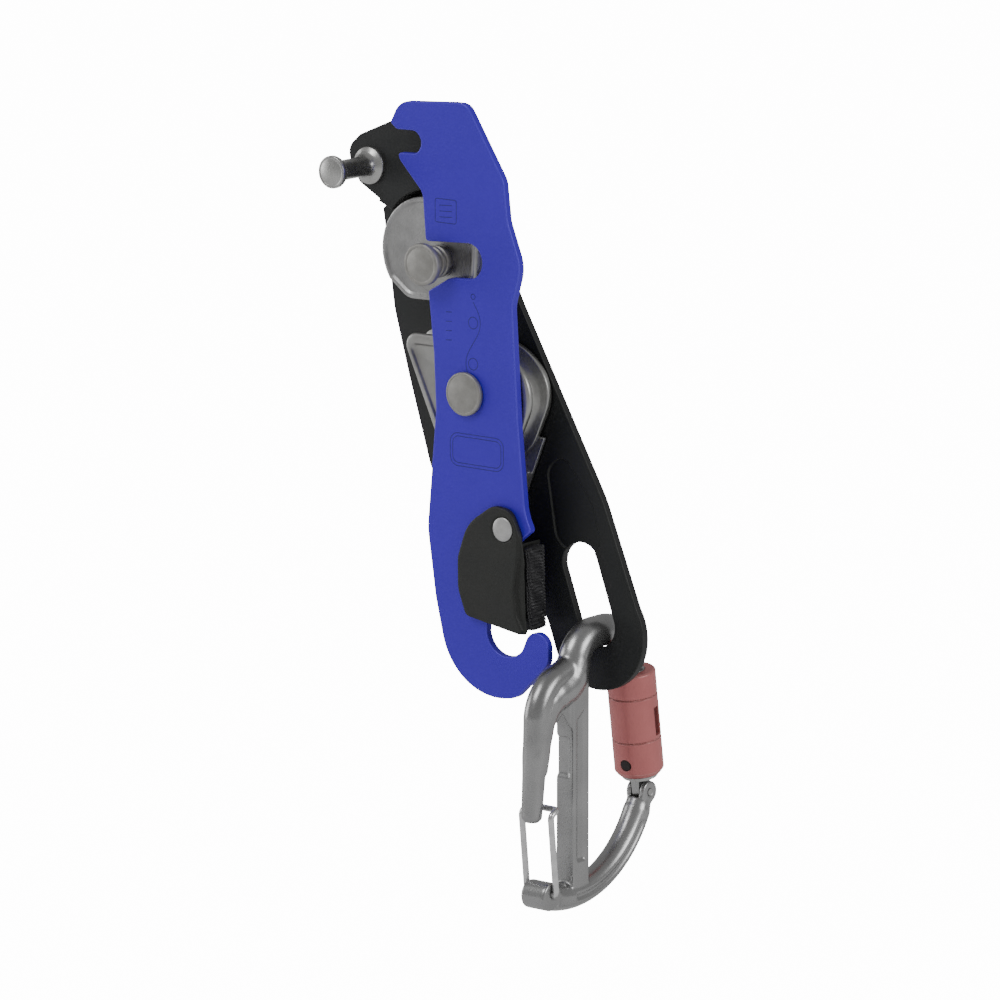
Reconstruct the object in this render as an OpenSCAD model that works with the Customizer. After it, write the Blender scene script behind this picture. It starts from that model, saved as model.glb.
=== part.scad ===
// Self-braking rope descender with a hinged side plate and a braking carabiner in its eye.
// Origin: middle of the rope channel, on the axis of the upper bobbin's stud.
// +Z is up as the device hangs, -Y is the hinged (front) side, +X is the user's right.

/* [Side plates] */
// Distance from the cam axle to the upper stud
stud_pitch = 50; // [44:0.5:60]
// Width of the rope channel between the two side plates
channel = 15; // [13.5:0.25:18]
// Thickness of the hinged side plate
front_t = 3.2; // [2.4:0.1:4]
// Thickness of the fixed side plate
rear_t = 3.4; // [2.8:0.1:4.5]
// Lean of the hanging device from the plumb line, in degrees
lean = 17.6; // [14:0.2:22]
// How far the hinged side plate stands open, in degrees
open_angle = 17.6; // [16:0.2:30]
// Set-back from the arm's front face to the front face of the fixed side plate
arm_step = 10.4; // [9.5:0.1:12]

/* [Carabiner eye] */
// Drop from the cam axle to the bottom centre of the eye
eye_drop = 94.7; // [88:0.5:115]
// Radius of the eye's round ends
eye_r = 8.2; // [7.6:0.1:9]
// Length of the eye between its end centres
eye_len = 23.4; // [16:0.2:28]
// Radius of the fixed side plate's round bottom
eye_rim_r = 21.4; // [19:0.2:24]

/* [Upper bobbin and stud] */
// Diameter of the upper stud's shank
stud_d = 10; // [8:0.5:12]
// Diameter of the upper stud's head
stud_head_d = 15.8; // [14.5:0.1:18]
// Thickness of the upper stud's head
stud_head_t = 2.8; // [2:0.1:4]
// Height of the upper stud's head face in front of the hinged plate
stud_reach = 8.2; // [6.5:0.1:10]
// Thickness of each bobbin flange
flange_t = 2.6; // [2:0.1:3.2]

/* [Cam and handle] */
// Diameter of the cam axle
axle_d = 10; // [8:0.5:12]
// Diameter of the cam axle's flat head
axle_head_d = 16.4; // [15:0.2:20]
// Thickness of the cam axle's flat head
axle_head_t = 1.7; // [1.2:0.1:2.5]
// Length of the handle below the axle
handle_len = 80; // [60:1:84]
// Width of the handle at its lower end
handle_w = 20; // [16:0.5:24]
// Thickness of the handle's sheet steel
sheet_t = 1.5; // [1:0.1:2]

/* [Auxiliary stud] */
// Diameter of the auxiliary braking stud
aux_d = 7.6; // [6:0.2:9]
// Diameter of the auxiliary stud's head
aux_head_d = 12.3; // [11:0.1:14]
// Length of the auxiliary stud in front of the arm
aux_len = 22.7; // [20:0.1:26]

/* [Carabiner] */
// Overall height of the carabiner
biner_h = 108.4; // [106:0.2:120]
// Distance from the spine to the gate hinge
biner_w = 41.8; // [39:0.2:46]
// Diameter of the carabiner's bar at its crown
bar_d = 12; // [10:0.2:12.4]
// Diameter of the locking sleeve
sleeve_d = 18.6; // [18:0.1:21]
// Length of the nose that stands clear of the locking sleeve
nose_stub = 3.6; // [3:0.1:8]

/* [Fits] */
// Radial clearance of a running fit
run_fit = 0.05; // [0.02:0.01:0.1]
// Gap between faces that slide past each other
face_gap = 0.3; // [0.2:0.05:0.6]
// Clearance round a stud that a notch or slot closes on
notch_gap = 0.6; // [0.3:0.1:1]

/* [Hidden] */

$fn = 64;
arc_n = 10;         // points in each rounded corner
eps = 0.01;
blue = [0.20, 0.22, 0.62];
black = [0.11, 0.12, 0.13];
steel = [0.62, 0.63, 0.64];
alloy = [0.66, 0.67, 0.69];
red = [0.64, 0.38, 0.38];

// Stack of the plates along Y
plate_in = -channel / 2;
plate_out = plate_in - front_t;
rear_in = channel / 2;
rear_out = rear_in + rear_t;
arm_in = rear_in - arm_step;
arm_out = arm_in + rear_t;
eye_mid = rear_in + rear_t / 2;

// The cam axle in the hanging device
axle_x = stud_pitch * sin(lean);
axle_z = -stud_pitch * cos(lean);
function turned(p, a) = [p[0] * cos(a) + p[1] * sin(a), -p[0] * sin(a) + p[1] * cos(a)];
function from_axle(p) = [axle_x, axle_z] + turned(p, -lean);

// Places on the plates, measured from the axle along the line to the upper stud
aux_at = [-25.7, stud_pitch + 41.4];
eye_low = [19.6, -eye_drop];
eye_high = [18.7, -eye_drop + eye_len];
hook_at = [19.1, -eye_drop + 7.3];
hook_out = [14.8, -eye_drop + 8.4];
hook_r = 9.5;
hook_rim_r = 27;
hook_tip = [33.2, -eye_drop + 3.3];
hook_tip_r = 5.4;
gate_at = [19.4, -eye_drop + 46.4];
gate_back = 1.2;

// Corner rounding: each point is [x, z, radius] and becomes an arc that is tangent to both sides
function unit(v) = v / norm(v);
function corner(p, q, s) =
    let (a = unit([p[0] - q[0], p[1] - q[1]]), b = unit([s[0] - q[0], s[1] - q[1]]))
    let (half = acos(max(-1, min(1, a * b))) / 2)
    let (reach = min(q[2] / tan(half), 0.49 * norm([p[0] - q[0], p[1] - q[1]]),
        0.49 * norm([s[0] - q[0], s[1] - q[1]])))
    let (r = reach * tan(half), axis = unit(a + b))
    let (c = [q[0], q[1]] + axis * (r / sin(half)))
    let (from = atan2(q[1] + a[1] * reach - c[1], q[0] + a[0] * reach - c[0]))
    let (to = atan2(q[1] + b[1] * reach - c[1], q[0] + b[0] * reach - c[0]))
    let (sweep = to - from > 180 ? to - from - 360 : (to - from < -180 ? to - from + 360 : to - from))
    [for (i = [0:arc_n]) c + r * [cos(from + sweep * i / arc_n), sin(from + sweep * i / arc_n)]];
function rounded(pts) =
    let (n = len(pts))
    [for (i = [0:n - 1]) each pts[i][2] > 0
        ? corner(pts[(i + n - 1) % n], pts[i], pts[(i + 1) % n])
        : [[pts[i][0], pts[i][1]]]];
function arc_points(c, r, a0, a1, n) =
    [for (i = [0:n]) [c[0] + r * cos(a0 + (a1 - a0) * i / n), c[1] + r * sin(a0 + (a1 - a0) * i / n), 0]];

// A flat outline in X and Z made a slab from y0 to y1
module slab(y0, y1) {
    translate([0, y1, 0])
        rotate([90, 0, 0])
        linear_extrude(y1 - y0)
        children();
}
// A round bar along Y
module ybar(r, y0, y1) {
    translate([0, y1, 0])
        rotate([90, 0, 0])
        cylinder(r = r, h = y1 - y0);
}
// A cone along Y, r0 at y0 and r1 at y1
module ycone(r0, r1, y0, y1) {
    translate([0, y1, 0])
        rotate([90, 0, 0])
        cylinder(r1 = r1, r2 = r0, h = y1 - y0);
}
// A disc with a chamfered front rim, its flat face at y0
module ydisc(r, y0, y1, chamfer) {
    ybar(r, y0 + chamfer, y1);
    ycone(r - chamfer, r, y0, y0 + chamfer);
}
module at(p) {
    translate([p[0], 0, p[1]])
        children();
}
// The two plate frames: both have their origin at the axle and +Z towards the upper stud
module on_fixed() {
    translate([axle_x, 0, axle_z])
        rotate([0, -lean, 0])
        children();
}
module on_moving() {
    translate([axle_x, 0, axle_z])
        rotate([0, open_angle - lean, 0])
        children();
}
module on_hanging() {
    translate([axle_x, 0, axle_z])
        children();
}

// ---------- fixed side plate ----------
fold_a = [-25.2, stud_pitch + 27.2];
fold_b = [-20.3, stud_pitch + 23];
bobbin_eye = [-7.5, stud_pitch + 6.5];
bobbin_side = bobbin_eye + [4.5, -1];
recess_r = 21;
groove_depth = 0.7;

module fixed_outline() {
    low = eye_low + [-0.8, -2.9];
    polygon(rounded(concat([
        [-27, stud_pitch + 53.6, 3], [3, stud_pitch + 56.5, 9], [12, stud_pitch + 38, 14],
        [16.5, stud_pitch - 2, 20], [19.9, 27.6, 20], [26.1, -2.1, 60], [36.2, -50, 60],
        [38.9, -85, 40]],
        arc_points(low, eye_rim_r, 15, -170, 24), [
        [-2.8, -eye_drop + 5.5, 12], [-7, -70, 25], [-33, -44, 14], [-40.7, -24, 20],
        [-40.4, 12, 60], [-39.6, 38, 40], [-34.6, stud_pitch + 17, 12], [-33.4, stud_pitch + 25.4, 1.2],
        [-24.9, stud_pitch + 28.2, 0.4], [-32.8, stud_pitch + 36.6, 4], [-35, stud_pitch + 50, 6]])));
}
module arm_zone() {
    polygon([fold_a + [-14, 12], fold_a, fold_b, bobbin_eye + [0, recess_r - 6],
        bobbin_eye + [recess_r + 12, recess_r - 12], [60, stud_pitch + 20],
        [60, stud_pitch + 80], [-60, stud_pitch + 80], [-60, stud_pitch + 40]]);
}
module fixed_side_plate() {
    color(black)
    on_fixed()
    difference() {
        slab(arm_in, rear_out)
            fixed_outline();
        // the front recess, all of the plate below the arm
        difference() {
            translate([-60, arm_in - 1, -160])
                cube([130, arm_step + 1, 260 + stud_pitch]);
            slab(arm_in - 2, rear_in + 1)
                arm_zone();
        }
        for (p = [bobbin_eye, bobbin_side])
            at(p)
                ybar(recess_r, arm_in - 1, rear_in);
        // room for the bobbin's front flange where a narrow channel brings the arm beside it
        at([0, stud_pitch])
            rotate([0, lean, 0])
            slab(bobbin_in - 1, bobbin_in + flange_t + face_gap)
            bobbin_outline(-notch_gap);
        // the arm's hollow back
        difference() {
            slab(arm_out, rear_out + 1)
                translate([rear_t * 0.7, rear_t])
                arm_zone();
            for (p = [bobbin_eye, bobbin_side])
                at(p)
                    ybar(recess_r + rear_t, arm_out - 1, rear_out + 2);
        }
        // lightening groove between the cam and the eye
        slab(rear_in - 1, rear_in + groove_depth)
            polygon(rounded([[14, -34, 6], [23, -30, 6], [31, -50, 12], [30.5, -66, 5], [24, -70, 5],
                [10, -62, 8]]));
        // eye for the carabiner
        slab(rear_in - 1, rear_out + 1)
            polygon(rounded(concat(arc_points(eye_high, eye_r, 180 - 2.2, -2.2, 24),
                arc_points(eye_low, eye_r, -2.2, -182.2, 24))));
        ybar(axle_d / 2, rear_in - 1, rear_out + 1);
        at([0, stud_pitch])
            ybar(stud_d / 2, rear_in - 1, rear_out + 1);
        at(dowel_at)
            ybar(dowel_d / 2, rear_in - 1, rear_out + 1);
        at(aux_at)
            ybar(aux_d / 2, arm_in - 1, arm_out + 1);
        at(stop_at)
            ybar(stop_d / 2, rear_in - 1, rear_out + 1);
    }
}

// ---------- upper bobbin, stud and dowel ----------
bobbin_in = plate_in + face_gap + 0.3;
bobbin_back = rear_in;
dowel_d = 4;
dowel_at = [-15, stud_pitch + 8];
barrel_inset = 6.5;
bobbin_mid = [-7.6, 2.4];
bobbin_r = 20.7;
module bobbin_outline(inset) {
    polygon(rounded(concat(arc_points(bobbin_mid, bobbin_r - inset, 88, 222, 20), [
        [-16 + inset / 2, -15.8 + inset, 8], [15 - inset, -15.2 + inset, 12 - inset],
        [16.8 - inset, 21.6 - inset, 16 - inset]])));
}
module upper_bobbin() {
    color(steel)
    difference() {
        union() {
            slab(bobbin_in, bobbin_in + flange_t)
                bobbin_outline(0);
            slab(bobbin_in + flange_t, bobbin_back - flange_t)
                bobbin_outline(barrel_inset);
            slab(bobbin_back - flange_t, bobbin_back)
                bobbin_outline(1);
        }
        // dished front face
        slab(bobbin_in - 1, bobbin_in + 0.8)
            bobbin_outline(3);
        ybar(stud_d / 2, bobbin_in - 1, bobbin_back + 1);
        at(turned(dowel_at - [0, stud_pitch], -lean))
            ybar(dowel_d / 2, bobbin_back - 6, bobbin_back + 1);
    }
}
stud_face = plate_out - stud_reach;
collar_d = stud_d + 2.2;
module upper_stud() {
    color(steel)
    difference() {
        union() {
            ydisc(stud_head_d / 2, stud_face, stud_face + stud_head_t, 0.5);
            ybar(stud_d / 2, stud_face + stud_head_t - eps, rear_out + nut_t + 1);
            // collar with ring grooves that the side plate's slot closes on
            for (i = [0:2])
                ybar(collar_d / 2, collar_from + i * 2.6, collar_from + i * 2.6 + 1.7);
            ybar(collar_d / 2 - 0.8, collar_from, bobbin_in + 0.8);
        }
        // recess in the threaded end
        ybar(1.6, rear_out + nut_t - 1, rear_out + nut_t + 2);
    }
}
collar_from = stud_face + stud_head_t + 1;
nut_t = 4.5;
nut_d = 18;
module upper_stud_nut() {
    color(steel)
    difference() {
        union() {
            ybar(nut_d / 2, rear_out, rear_out + 1.2);
            translate([0, rear_out + nut_t, 0])
                rotate([90, 0, 0])
                cylinder(d = nut_d - 1, h = nut_t - 1.2 + eps, $fn = 6);
        }
        ybar(stud_d / 2, rear_out - 1, rear_out + nut_t + 1);
    }
}
module bobbin_dowel() {
    color(steel)
    on_fixed()
    at(dowel_at)
        ybar(dowel_d / 2, bobbin_back - 6 + eps, rear_out);
}

// ---------- auxiliary braking stud ----------
aux_base_d = 14.2;
aux_washer_t = 1.4;
module aux_stud() {
    face = arm_in - aux_len;
    color(steel)
    on_fixed()
    at(aux_at) {
        ydisc(aux_head_d / 2, face, face + 2.2, 0.4);
        ycone(aux_head_d / 2, aux_d / 2, face + 2.2, face + 4.4);
        ybar(aux_d / 2, face + 4.4 - eps, arm_out + aux_washer_t);
        ycone(aux_d / 2, aux_base_d / 2 - 1.5, arm_in - 4.4, arm_in - 1.4);
        ydisc(aux_base_d / 2, arm_in - 1.4 - eps, arm_in, 0.4);
        ycone(aux_d / 2 + 1.6, aux_d / 2 + 0.6, arm_out + aux_washer_t, arm_out + aux_washer_t + 1.4);
    }
}
module aux_stud_washer() {
    color(steel)
    on_fixed()
    at(aux_at)
    difference() {
        ybar(aux_base_d / 2 - 1, arm_out, arm_out + aux_washer_t);
        ybar(aux_d / 2, arm_out - 1, arm_out + aux_washer_t + 1);
    }
}

// ---------- cam axle and what turns on it ----------
washer_t = 1.2;
axle_foot_t = 2.2;
module cam_axle() {
    head_back = plate_out - face_gap;
    color(steel)
    on_hanging() {
        ydisc(axle_head_d / 2, head_back - axle_head_t, head_back, 0.4);
        ybar(axle_d / 2, head_back - eps, rear_out + washer_t + eps);
        ybar(axle_d / 2 + 1.8, rear_out + washer_t, rear_out + washer_t + axle_foot_t - 0.6);
        ycone(axle_d / 2 + 1.8, axle_d / 2 + 1.2, rear_out + washer_t + axle_foot_t - 0.6,
            rear_out + washer_t + axle_foot_t);
    }
}
module axle_washer() {
    color(steel)
    on_hanging()
    difference() {
        ybar(axle_head_d / 2, rear_out, rear_out + washer_t);
        ybar(axle_d / 2, rear_out - 1, rear_out + washer_t + 1);
    }
}
bush_wall = 1.5;
bush_r = axle_d / 2 + run_fit + bush_wall;
module plate_bush() {
    color([0.55, 0.45, 0.28])
    on_hanging()
    difference() {
        ybar(bush_r, plate_out, plate_in);
        ybar(axle_d / 2 + run_fit, plate_out - 1, plate_in + 1);
    }
}
module cam_bush() {
    color([0.55, 0.45, 0.28])
    on_hanging()
    difference() {
        ybar(bush_r, cam_front, cam_back);
        ybar(axle_d / 2 + run_fit, cam_front - 1, cam_back + 1);
    }
}
thrust_t = 0.5;
module thrust_washers() {
    color([0.85, 0.84, 0.78])
    on_hanging()
        for (y = [plate_in + 0.05, rear_in - thrust_t - 0.05])
            difference() {
                ybar(bush_r + 2.2, y, y + thrust_t);
                ybar(axle_d / 2 + run_fit, y - 1, y + thrust_t + 1);
            }
}
cam_front = plate_in + thrust_t + 0.1;
cam_back = rear_in - thrust_t - 0.1;
stop_d = 3;
stop_ring = 14.4;
stop_angle = 70;
stop_at = turned([stop_ring * cos(stop_angle), stop_ring * sin(stop_angle)], lean);
handle_pull = 25;
handle_push = 12;
module cam_outline(inset) {
    polygon(rounded([
        [-34.5 + inset, 19 - inset, 4.5], [14, 19.5 - inset, 26], [29.6 - inset, 3, 16],
        [17 - inset / 2, -26 + inset, 18], [-14 + inset / 2, -26.5 + inset, 18]]));
}
// Ring sector in X and Z about the axle, from angle a0 to a1
module sector(r0, r1, a0, a1) {
    polygon(rounded(concat(arc_points([0, 0], r1, a0, a1, 12), arc_points([0, 0], r0, a1, a0, 12))));
}
module lower_cam() {
    color(steel)
    on_hanging()
    difference() {
        union() {
            slab(cam_front, cam_front + flange_t)
                cam_outline(0);
            slab(cam_front + flange_t - eps, cam_back - flange_t + eps)
                cam_outline(6);
            slab(cam_back - flange_t, cam_back)
                cam_outline(0.6);
        }
        // dished front face inside a raised rim
        difference() {
            slab(cam_front - 1, cam_front + 0.9)
                cam_outline(4);
            ybar(bush_r + 3, cam_front - 2, cam_front + 2);
        }
        ybar(bush_r, cam_front - 1, cam_back + 1);
        // curved slot for the stop pin
        slab(cam_back - 3.2, cam_back + 1)
            sector(stop_ring - stop_d / 2 - 0.4, stop_ring + stop_d / 2 + 0.4,
                stop_angle - handle_push - 9, stop_angle + handle_pull + 9);
        // ring recess for the return spring
        difference() {
            ybar(spring_r + 1.3, cam_back - 2.6, cam_back + 1);
            ybar(spring_r - 1.3, cam_back - 3, cam_back + 2);
        }
        // seat for the handle's sheet
        slab(cam_back - sheet_t, cam_back + 1)
            translate([-40, -60])
            square([80, 43.9]);
        for (p = handle_rivet_at)
            at(p)
                ybar(rivet_d / 2, cam_front + 1.5, cam_back + 1);
    }
}
spring_r = 9.7;
spring_wire = 1.2;
module cam_spring() {
    color(steel)
    on_hanging()
        translate([0, cam_back - 1.3, 0])
        rotate([90, 0, 0])
        rotate_extrude()
        translate([spring_r, 0])
        circle(d = spring_wire, $fn = 24);
}
module cam_stop_pin() {
    color(steel)
    on_fixed()
    at(stop_at)
        ybar(stop_d / 2, rear_in - 3, rear_out);
}

// ---------- handle ----------
// The lever keeps to the back of the channel so that the safety gate can pass in front of it
rivet_d = 4;
handle_rivet_at = [[-9, -20.5], [9, -20.5]];
handle_front = gate_back + 0.6;
module handle_shape(grow) {
    polygon(rounded([
        [-19 - grow, -16.1, 0.5], [24.2 + grow, -16.1, 0.5], [15.4 + grow, -38, 10],
        [handle_w / 2 + grow, -52, 20], [handle_w / 2 + grow, -handle_len - grow, handle_w / 2 + grow - 0.1],
        [-handle_w / 2 - grow, -handle_len - grow, handle_w / 2 + grow - 0.1],
        [-handle_w / 2 - grow, -50, 20],
        [-13 - grow, -35, 10]]));
}
module handle_arm() {
    color([0.35, 0.36, 0.40])
    on_hanging()
    difference() {
        slab(handle_front, cam_back)
            handle_shape(0);
        // the lever is a tray of sheet steel, open to the front
        slab(handle_front - 1, cam_back - sheet_t)
            difference() {
                handle_shape(-sheet_t);
                translate([-60, -30])
                    square([120, 40]);
            }
        // the cheek that lies on the cam
        slab(handle_front - 1, cam_back - sheet_t)
            translate([-60, -30.1])
            square([120, 40]);
        for (p = handle_rivet_at)
            at(p)
                ybar(rivet_d / 2, cam_front - 1, cam_back + 1);
        at([0, -handle_len + 12])
            ybar(2.1, cam_front - 1, cam_back + 1);
    }
}
module handle_grip() {
    color(black)
    on_hanging()
    difference() {
        slab(handle_front + 0.2, cam_back - sheet_t)
            difference() {
                handle_shape(-sheet_t);
                translate([-60, -46])
                    square([120, 60]);
            }
        at([0, -handle_len + 12])
            ybar(2.1, cam_front - 1, cam_back + 1);
    }
}
module handle_rivets() {
    color(steel)
    on_hanging() {
        for (p = handle_rivet_at)
            at(p)
                ybar(rivet_d / 2, cam_front + 1.5, cam_back);
        at([0, -handle_len + 12])
            ybar(2.1, handle_front + 0.2, cam_back);
    }
}

// ---------- hinged side plate ----------
slot_r = (collar_d / 2) + notch_gap;
notch_r = aux_d / 2 + notch_gap;
module moving_outline() {
    polygon(rounded(concat([
        [-31.7, stud_pitch + 56.2, 9], [-6, stud_pitch + 57.9, 0.2], [0.3, stud_pitch + 57.9, 9],
        [17.6, stud_pitch + 31, 9], [19.4, stud_pitch + 16, 12], [25.8, stud_pitch - 0.5, 14],
        [21.6, stud_pitch - 15, 12], [22.6, 18, 60], [24.4, -10, 40], [27.6, -42, 20],
        [30.6, -eye_drop + 46.6, 1.8]],
        arc_points(gate_at, gate_land_r, -35, -140, 10), [
        [10.2, -eye_drop + 36.5, 5]],
        arc_points(hook_at, hook_r, 190, 320, 16),
        arc_points(hook_tip, hook_tip_r, 150, 5, 12), [
        [38.7, -eye_drop - 2.4, 5], [23.7, -eye_drop - 17.5, 14]],
        arc_points(hook_out, hook_rim_r, -85, -165, 18), [
        [-14.8, -eye_drop + 16, 30], [-18.6, -eye_drop + 42, 25], [-14.4, -8, 30], [-15.4, 14, 30],
        [-17.9, stud_pitch - 13.4, 1], [-8, stud_pitch - slot_r - 0.9, 5]],
        arc_points([0.8, stud_pitch - 0.4], slot_r, -90, 90, 16), [
        [-19.2, stud_pitch + slot_r - 1.6, 1.5], [-20.6, stud_pitch + 23, 6],
        [-31.6, stud_pitch + 34.4, 3], [-32.2, stud_pitch + 36.9, 1]],
        arc_points(aux_at, notch_r, -72, 98, 12), [
        [-33, stud_pitch + 45.6, 2], [-36, stud_pitch + 47.9, 1.5]])));
}
module moving_side_plate() {
    color(blue)
    on_moving()
    difference() {
        slab(plate_out, plate_in)
            moving_outline();
        ybar(bush_r, plate_out - 1, plate_in + 1);
        at(gate_at) {
            ybar(gate_pin_d / 2, plate_out - 1, plate_in + 1);
            ybar(gate_foot_r, plate_in - gate_foot_t, plate_in + 1);
        }
    }
}

// ---------- safety gate on the hinged plate ----------
gate_pin_d = 5;
gate_head_d = 9;
gate_foot_r = 4;
gate_foot_t = 0.9;
gate_land_r = 7.2;
gate_t = 2.5;
gate_floor = plate_out - face_gap;
gate_face = gate_floor - gate_t;
strip_t = 2.4;
strip_low = 7.9;    // the strip's lower end above the hook's datum
thumb_hollow = 4;
// The face, its right edge drawn in by the hollow for the thumb
module gate_outline(hollow) {
    dz = -eye_drop;
    polygon(rounded([
        [14.4, dz + 54.8, 7], [22.6, dz + 54, 6], [26.9, dz + 45, 8], [28.2 - 0.5 * hollow, dz + 35, 10],
        [28.6 - hollow, dz + 24, 12], [29 - 0.8 * hollow, dz + 14, 8], [29.8, dz + 7.2, 1.5],
        [13.6, dz + 9.7, 10], [1.8, dz + 11.6, 3],
        [-1.9, dz + 21, 14], [-2.2, dz + 33, 12], [2.4, dz + 46.4, 16]]));
}
// The part of the gate that stands in the plate's mouth
module gate_core() {
    dz = -eye_drop;
    polygon(rounded(concat(arc_points(gate_at, gate_land_r + 0.7, -35, -65, 6), [
        [22.6, dz + 37.4, 0.4], [22.6, dz + strip_low + 0.8, 2], [29.2 - strip_t, dz + strip_low, 0.6],
        [28 - strip_t, dz + 39, 0.6]])));
}
module safety_gate() {
    color(black)
    on_moving()
    difference() {
        union() {
            slab(gate_face, gate_face + 1.3)
                gate_outline(thumb_hollow);
            slab(gate_face + 1.3 - eps, gate_floor)
                gate_outline(0);
            slab(gate_floor - eps, gate_back)
                gate_core();
        }
        at(gate_at) {
            ybar(gate_pin_d / 2 + run_fit, gate_face - 1, gate_floor + 1);
            ybar(gate_head_d / 2 + 0.3, gate_face - 1, gate_face + 0.7);
            // pocket for the torsion spring
            difference() {
                ybar(gate_pin_d / 2 + 2.3, gate_floor - 1.2, gate_floor + 1);
                ybar(gate_pin_d / 2 + 0.5, gate_floor - 3, gate_floor + 2);
            }
        }
        // window between the face and the thumb strip
        translate([26, gate_floor - 0.2, -eye_drop + 13])
            cube([6, 1.6, 20]);
    }
}
module thumb_strip() {
    dz = -eye_drop;
    color([0.14, 0.15, 0.16])
    on_moving()
    difference() {
        slab(gate_floor + 1.4, gate_back)
            polygon([[28 - strip_t + 0.05, dz + 39], [28, dz + 40.5], [29.2, dz + strip_low],
                [29.2 - strip_t + 0.05, dz + strip_low]]);
        for (i = [0:11])
            at([28.2 + 0.09 * i, dz + 37.6 - 2.3 * i])
                rotate([0, -2, 0])
                translate([-0.1, gate_floor, -0.4])
                cube([2, 20, 0.9]);
    }
}
module gate_rivet() {
    color([0.75, 0.75, 0.74])
    on_moving()
    at(gate_at) {
        ydisc(gate_head_d / 2, gate_face - 0.6, gate_face + 0.65, 0.5);
        ybar(gate_pin_d / 2, gate_face + 0.6, plate_in);
    }
}
module gate_washer() {
    color(steel)
    on_moving()
    at(gate_at)
    difference() {
        ybar(gate_foot_r, plate_in - gate_foot_t, plate_in);
        ybar(gate_pin_d / 2, plate_in - 1, plate_in + 1);
    }
}
module gate_spring() {
    color(steel)
    on_moving()
    at(gate_at)
        translate([0, gate_floor - 0.6, 0])
        rotate([90, 0, 0])
        rotate_extrude()
        translate([gate_pin_d / 2 + 1.4, 0])
        circle(d = 0.9, $fn = 24);
}

// ---------- carabiner ----------
// Its plane is square to the side plates. Points are [y, z] from the middle of the crown.
bar_r = bar_d / 2;
link_in = 0.6;
link_step = 0.04;
eye_world = from_axle(eye_low);
biner_x = eye_world[0];
crown_y = eye_mid;
crown_z = eye_world[1] - eye_r + bar_r + 0.1;
module on_biner() {
    translate([biner_x, crown_y, crown_z])
        children();
}
// A flat outline in Y and Z, of width w along X
module side_slab(w) {
    translate([-w / 2, 0, 0])
        rotate([90, 0, 90])
        linear_extrude(w)
        children();
}
// A round bar between two points in the carabiner's plane
module strut(a, b, r0, r1) {
    d = b - a;
    translate([0, a[0], a[1]])
        rotate([-atan2(d[0], d[1]), 0, 0])
        cylinder(r1 = r0, r2 = r1, h = norm(d));
}
// A straight that joins two bends of radius r, let a little way into each of them
module link(a, b, r) {
    d = unit(b - a) * link_in;
    strut(a - d, b + d, r - link_step, r - link_step);
}
// A bent round bar: centre c, bend radius rb, from angle a0 to a1 measured from +Y towards +Z
module bend(c, rb, a0, a1, r) {
    translate([0, c[0], c[1]])
        rotate([90, 0, 90])
        rotate([0, 0, a0])
        rotate_extrude(angle = a1 - a0, $fn = 96)
        translate([rb, 0])
        circle(r = r, $fn = 48);
}
spine_y = -16;
spine_deep = 4.8;       // half the depth of the spine
spine_w = 8.4;
step_z = -51.5;
step_len = 15;
flute_from = -92;
flute_to = -32;
crown_bend = 12;
crown_half = 1;
nose_bend = 17.7;
nose_turn = 14;
nose_r = bar_r - 0.7;
basket_bar = 5.2;
basket_r = 45.8;
hinge_angle = -18.4;
boss_angle = -112;
hinge_y = spine_y + biner_w;
basket_c = [hinge_y - basket_r * cos(hinge_angle), -biner_h + bar_r + basket_bar + basket_r];
hinge = basket_c + basket_r * [cos(hinge_angle), sin(hinge_angle)];
boss = basket_c + basket_r * [cos(boss_angle), sin(boss_angle)];
boss_r = 5.4;
nose_c = [crown_half, -nose_bend];
nose_end = nose_c + nose_bend * [cos(nose_turn), sin(nose_turn)];
gate_tilt = atan2(hinge[0] - nose_end[0], nose_end[1] - hinge[1]);
gate_span = norm(nose_end - hinge);
hinge_pin_d = 2.6;
knuckle_r = 4.3;
knuckle_half = 4.3;
basket_end_angle = -27;
basket_end = basket_c + basket_r * [cos(basket_end_angle), sin(basket_end_angle)];
fork = 4;
tongue_r = 3.6;
stem_r = 5.3;
collar_t = 2.8;
sleeve_from = 4.6;
sleeve_low = sleeve_from + collar_t + face_gap;
sleeve_bore = stem_r + run_fit;
sleeve_top = sqrt(pow(gate_span - nose_stub, 2) - pow(sleeve_d / 2, 2)) - 0.15;
sleeve_len = sleeve_top - sleeve_low;
nose_at = gate_span - nose_stub;
gate_len = sleeve_top + 0.2;
chamber_from = 10;
chamber_len = sleeve_len - 15.6;
spring_coils = 9;
spring_coil_d = 1.2;
spur_r = 5;
spur_tip_r = 3.9;
spur_top = [-37.5, -27];
spur_bend = 15.5;
spur_lean = 4.6;
spur_len = 37;
spur_c = spur_top + spur_bend * [cos(spur_lean), -sin(spur_lean)];
spur_tip = spur_top + spur_len * [-sin(spur_lean), -cos(spur_lean)];
spur_in = [sin(spur_lean), cos(spur_lean)];
spur_turn = 108;
spur_root = spur_c + spur_bend * [cos(spur_turn), sin(spur_turn)];
wire_d = 2.6;
wire_half = 6.8;
wire_foot = boss + [0.4, 1];
wire_knee = spur_tip + [2.7, 1.6];
wire_top = spur_tip + [spur_r + wire_d / 2 + 0.35, 3.2];
boss_half = wire_half - wire_d / 2;

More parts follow.
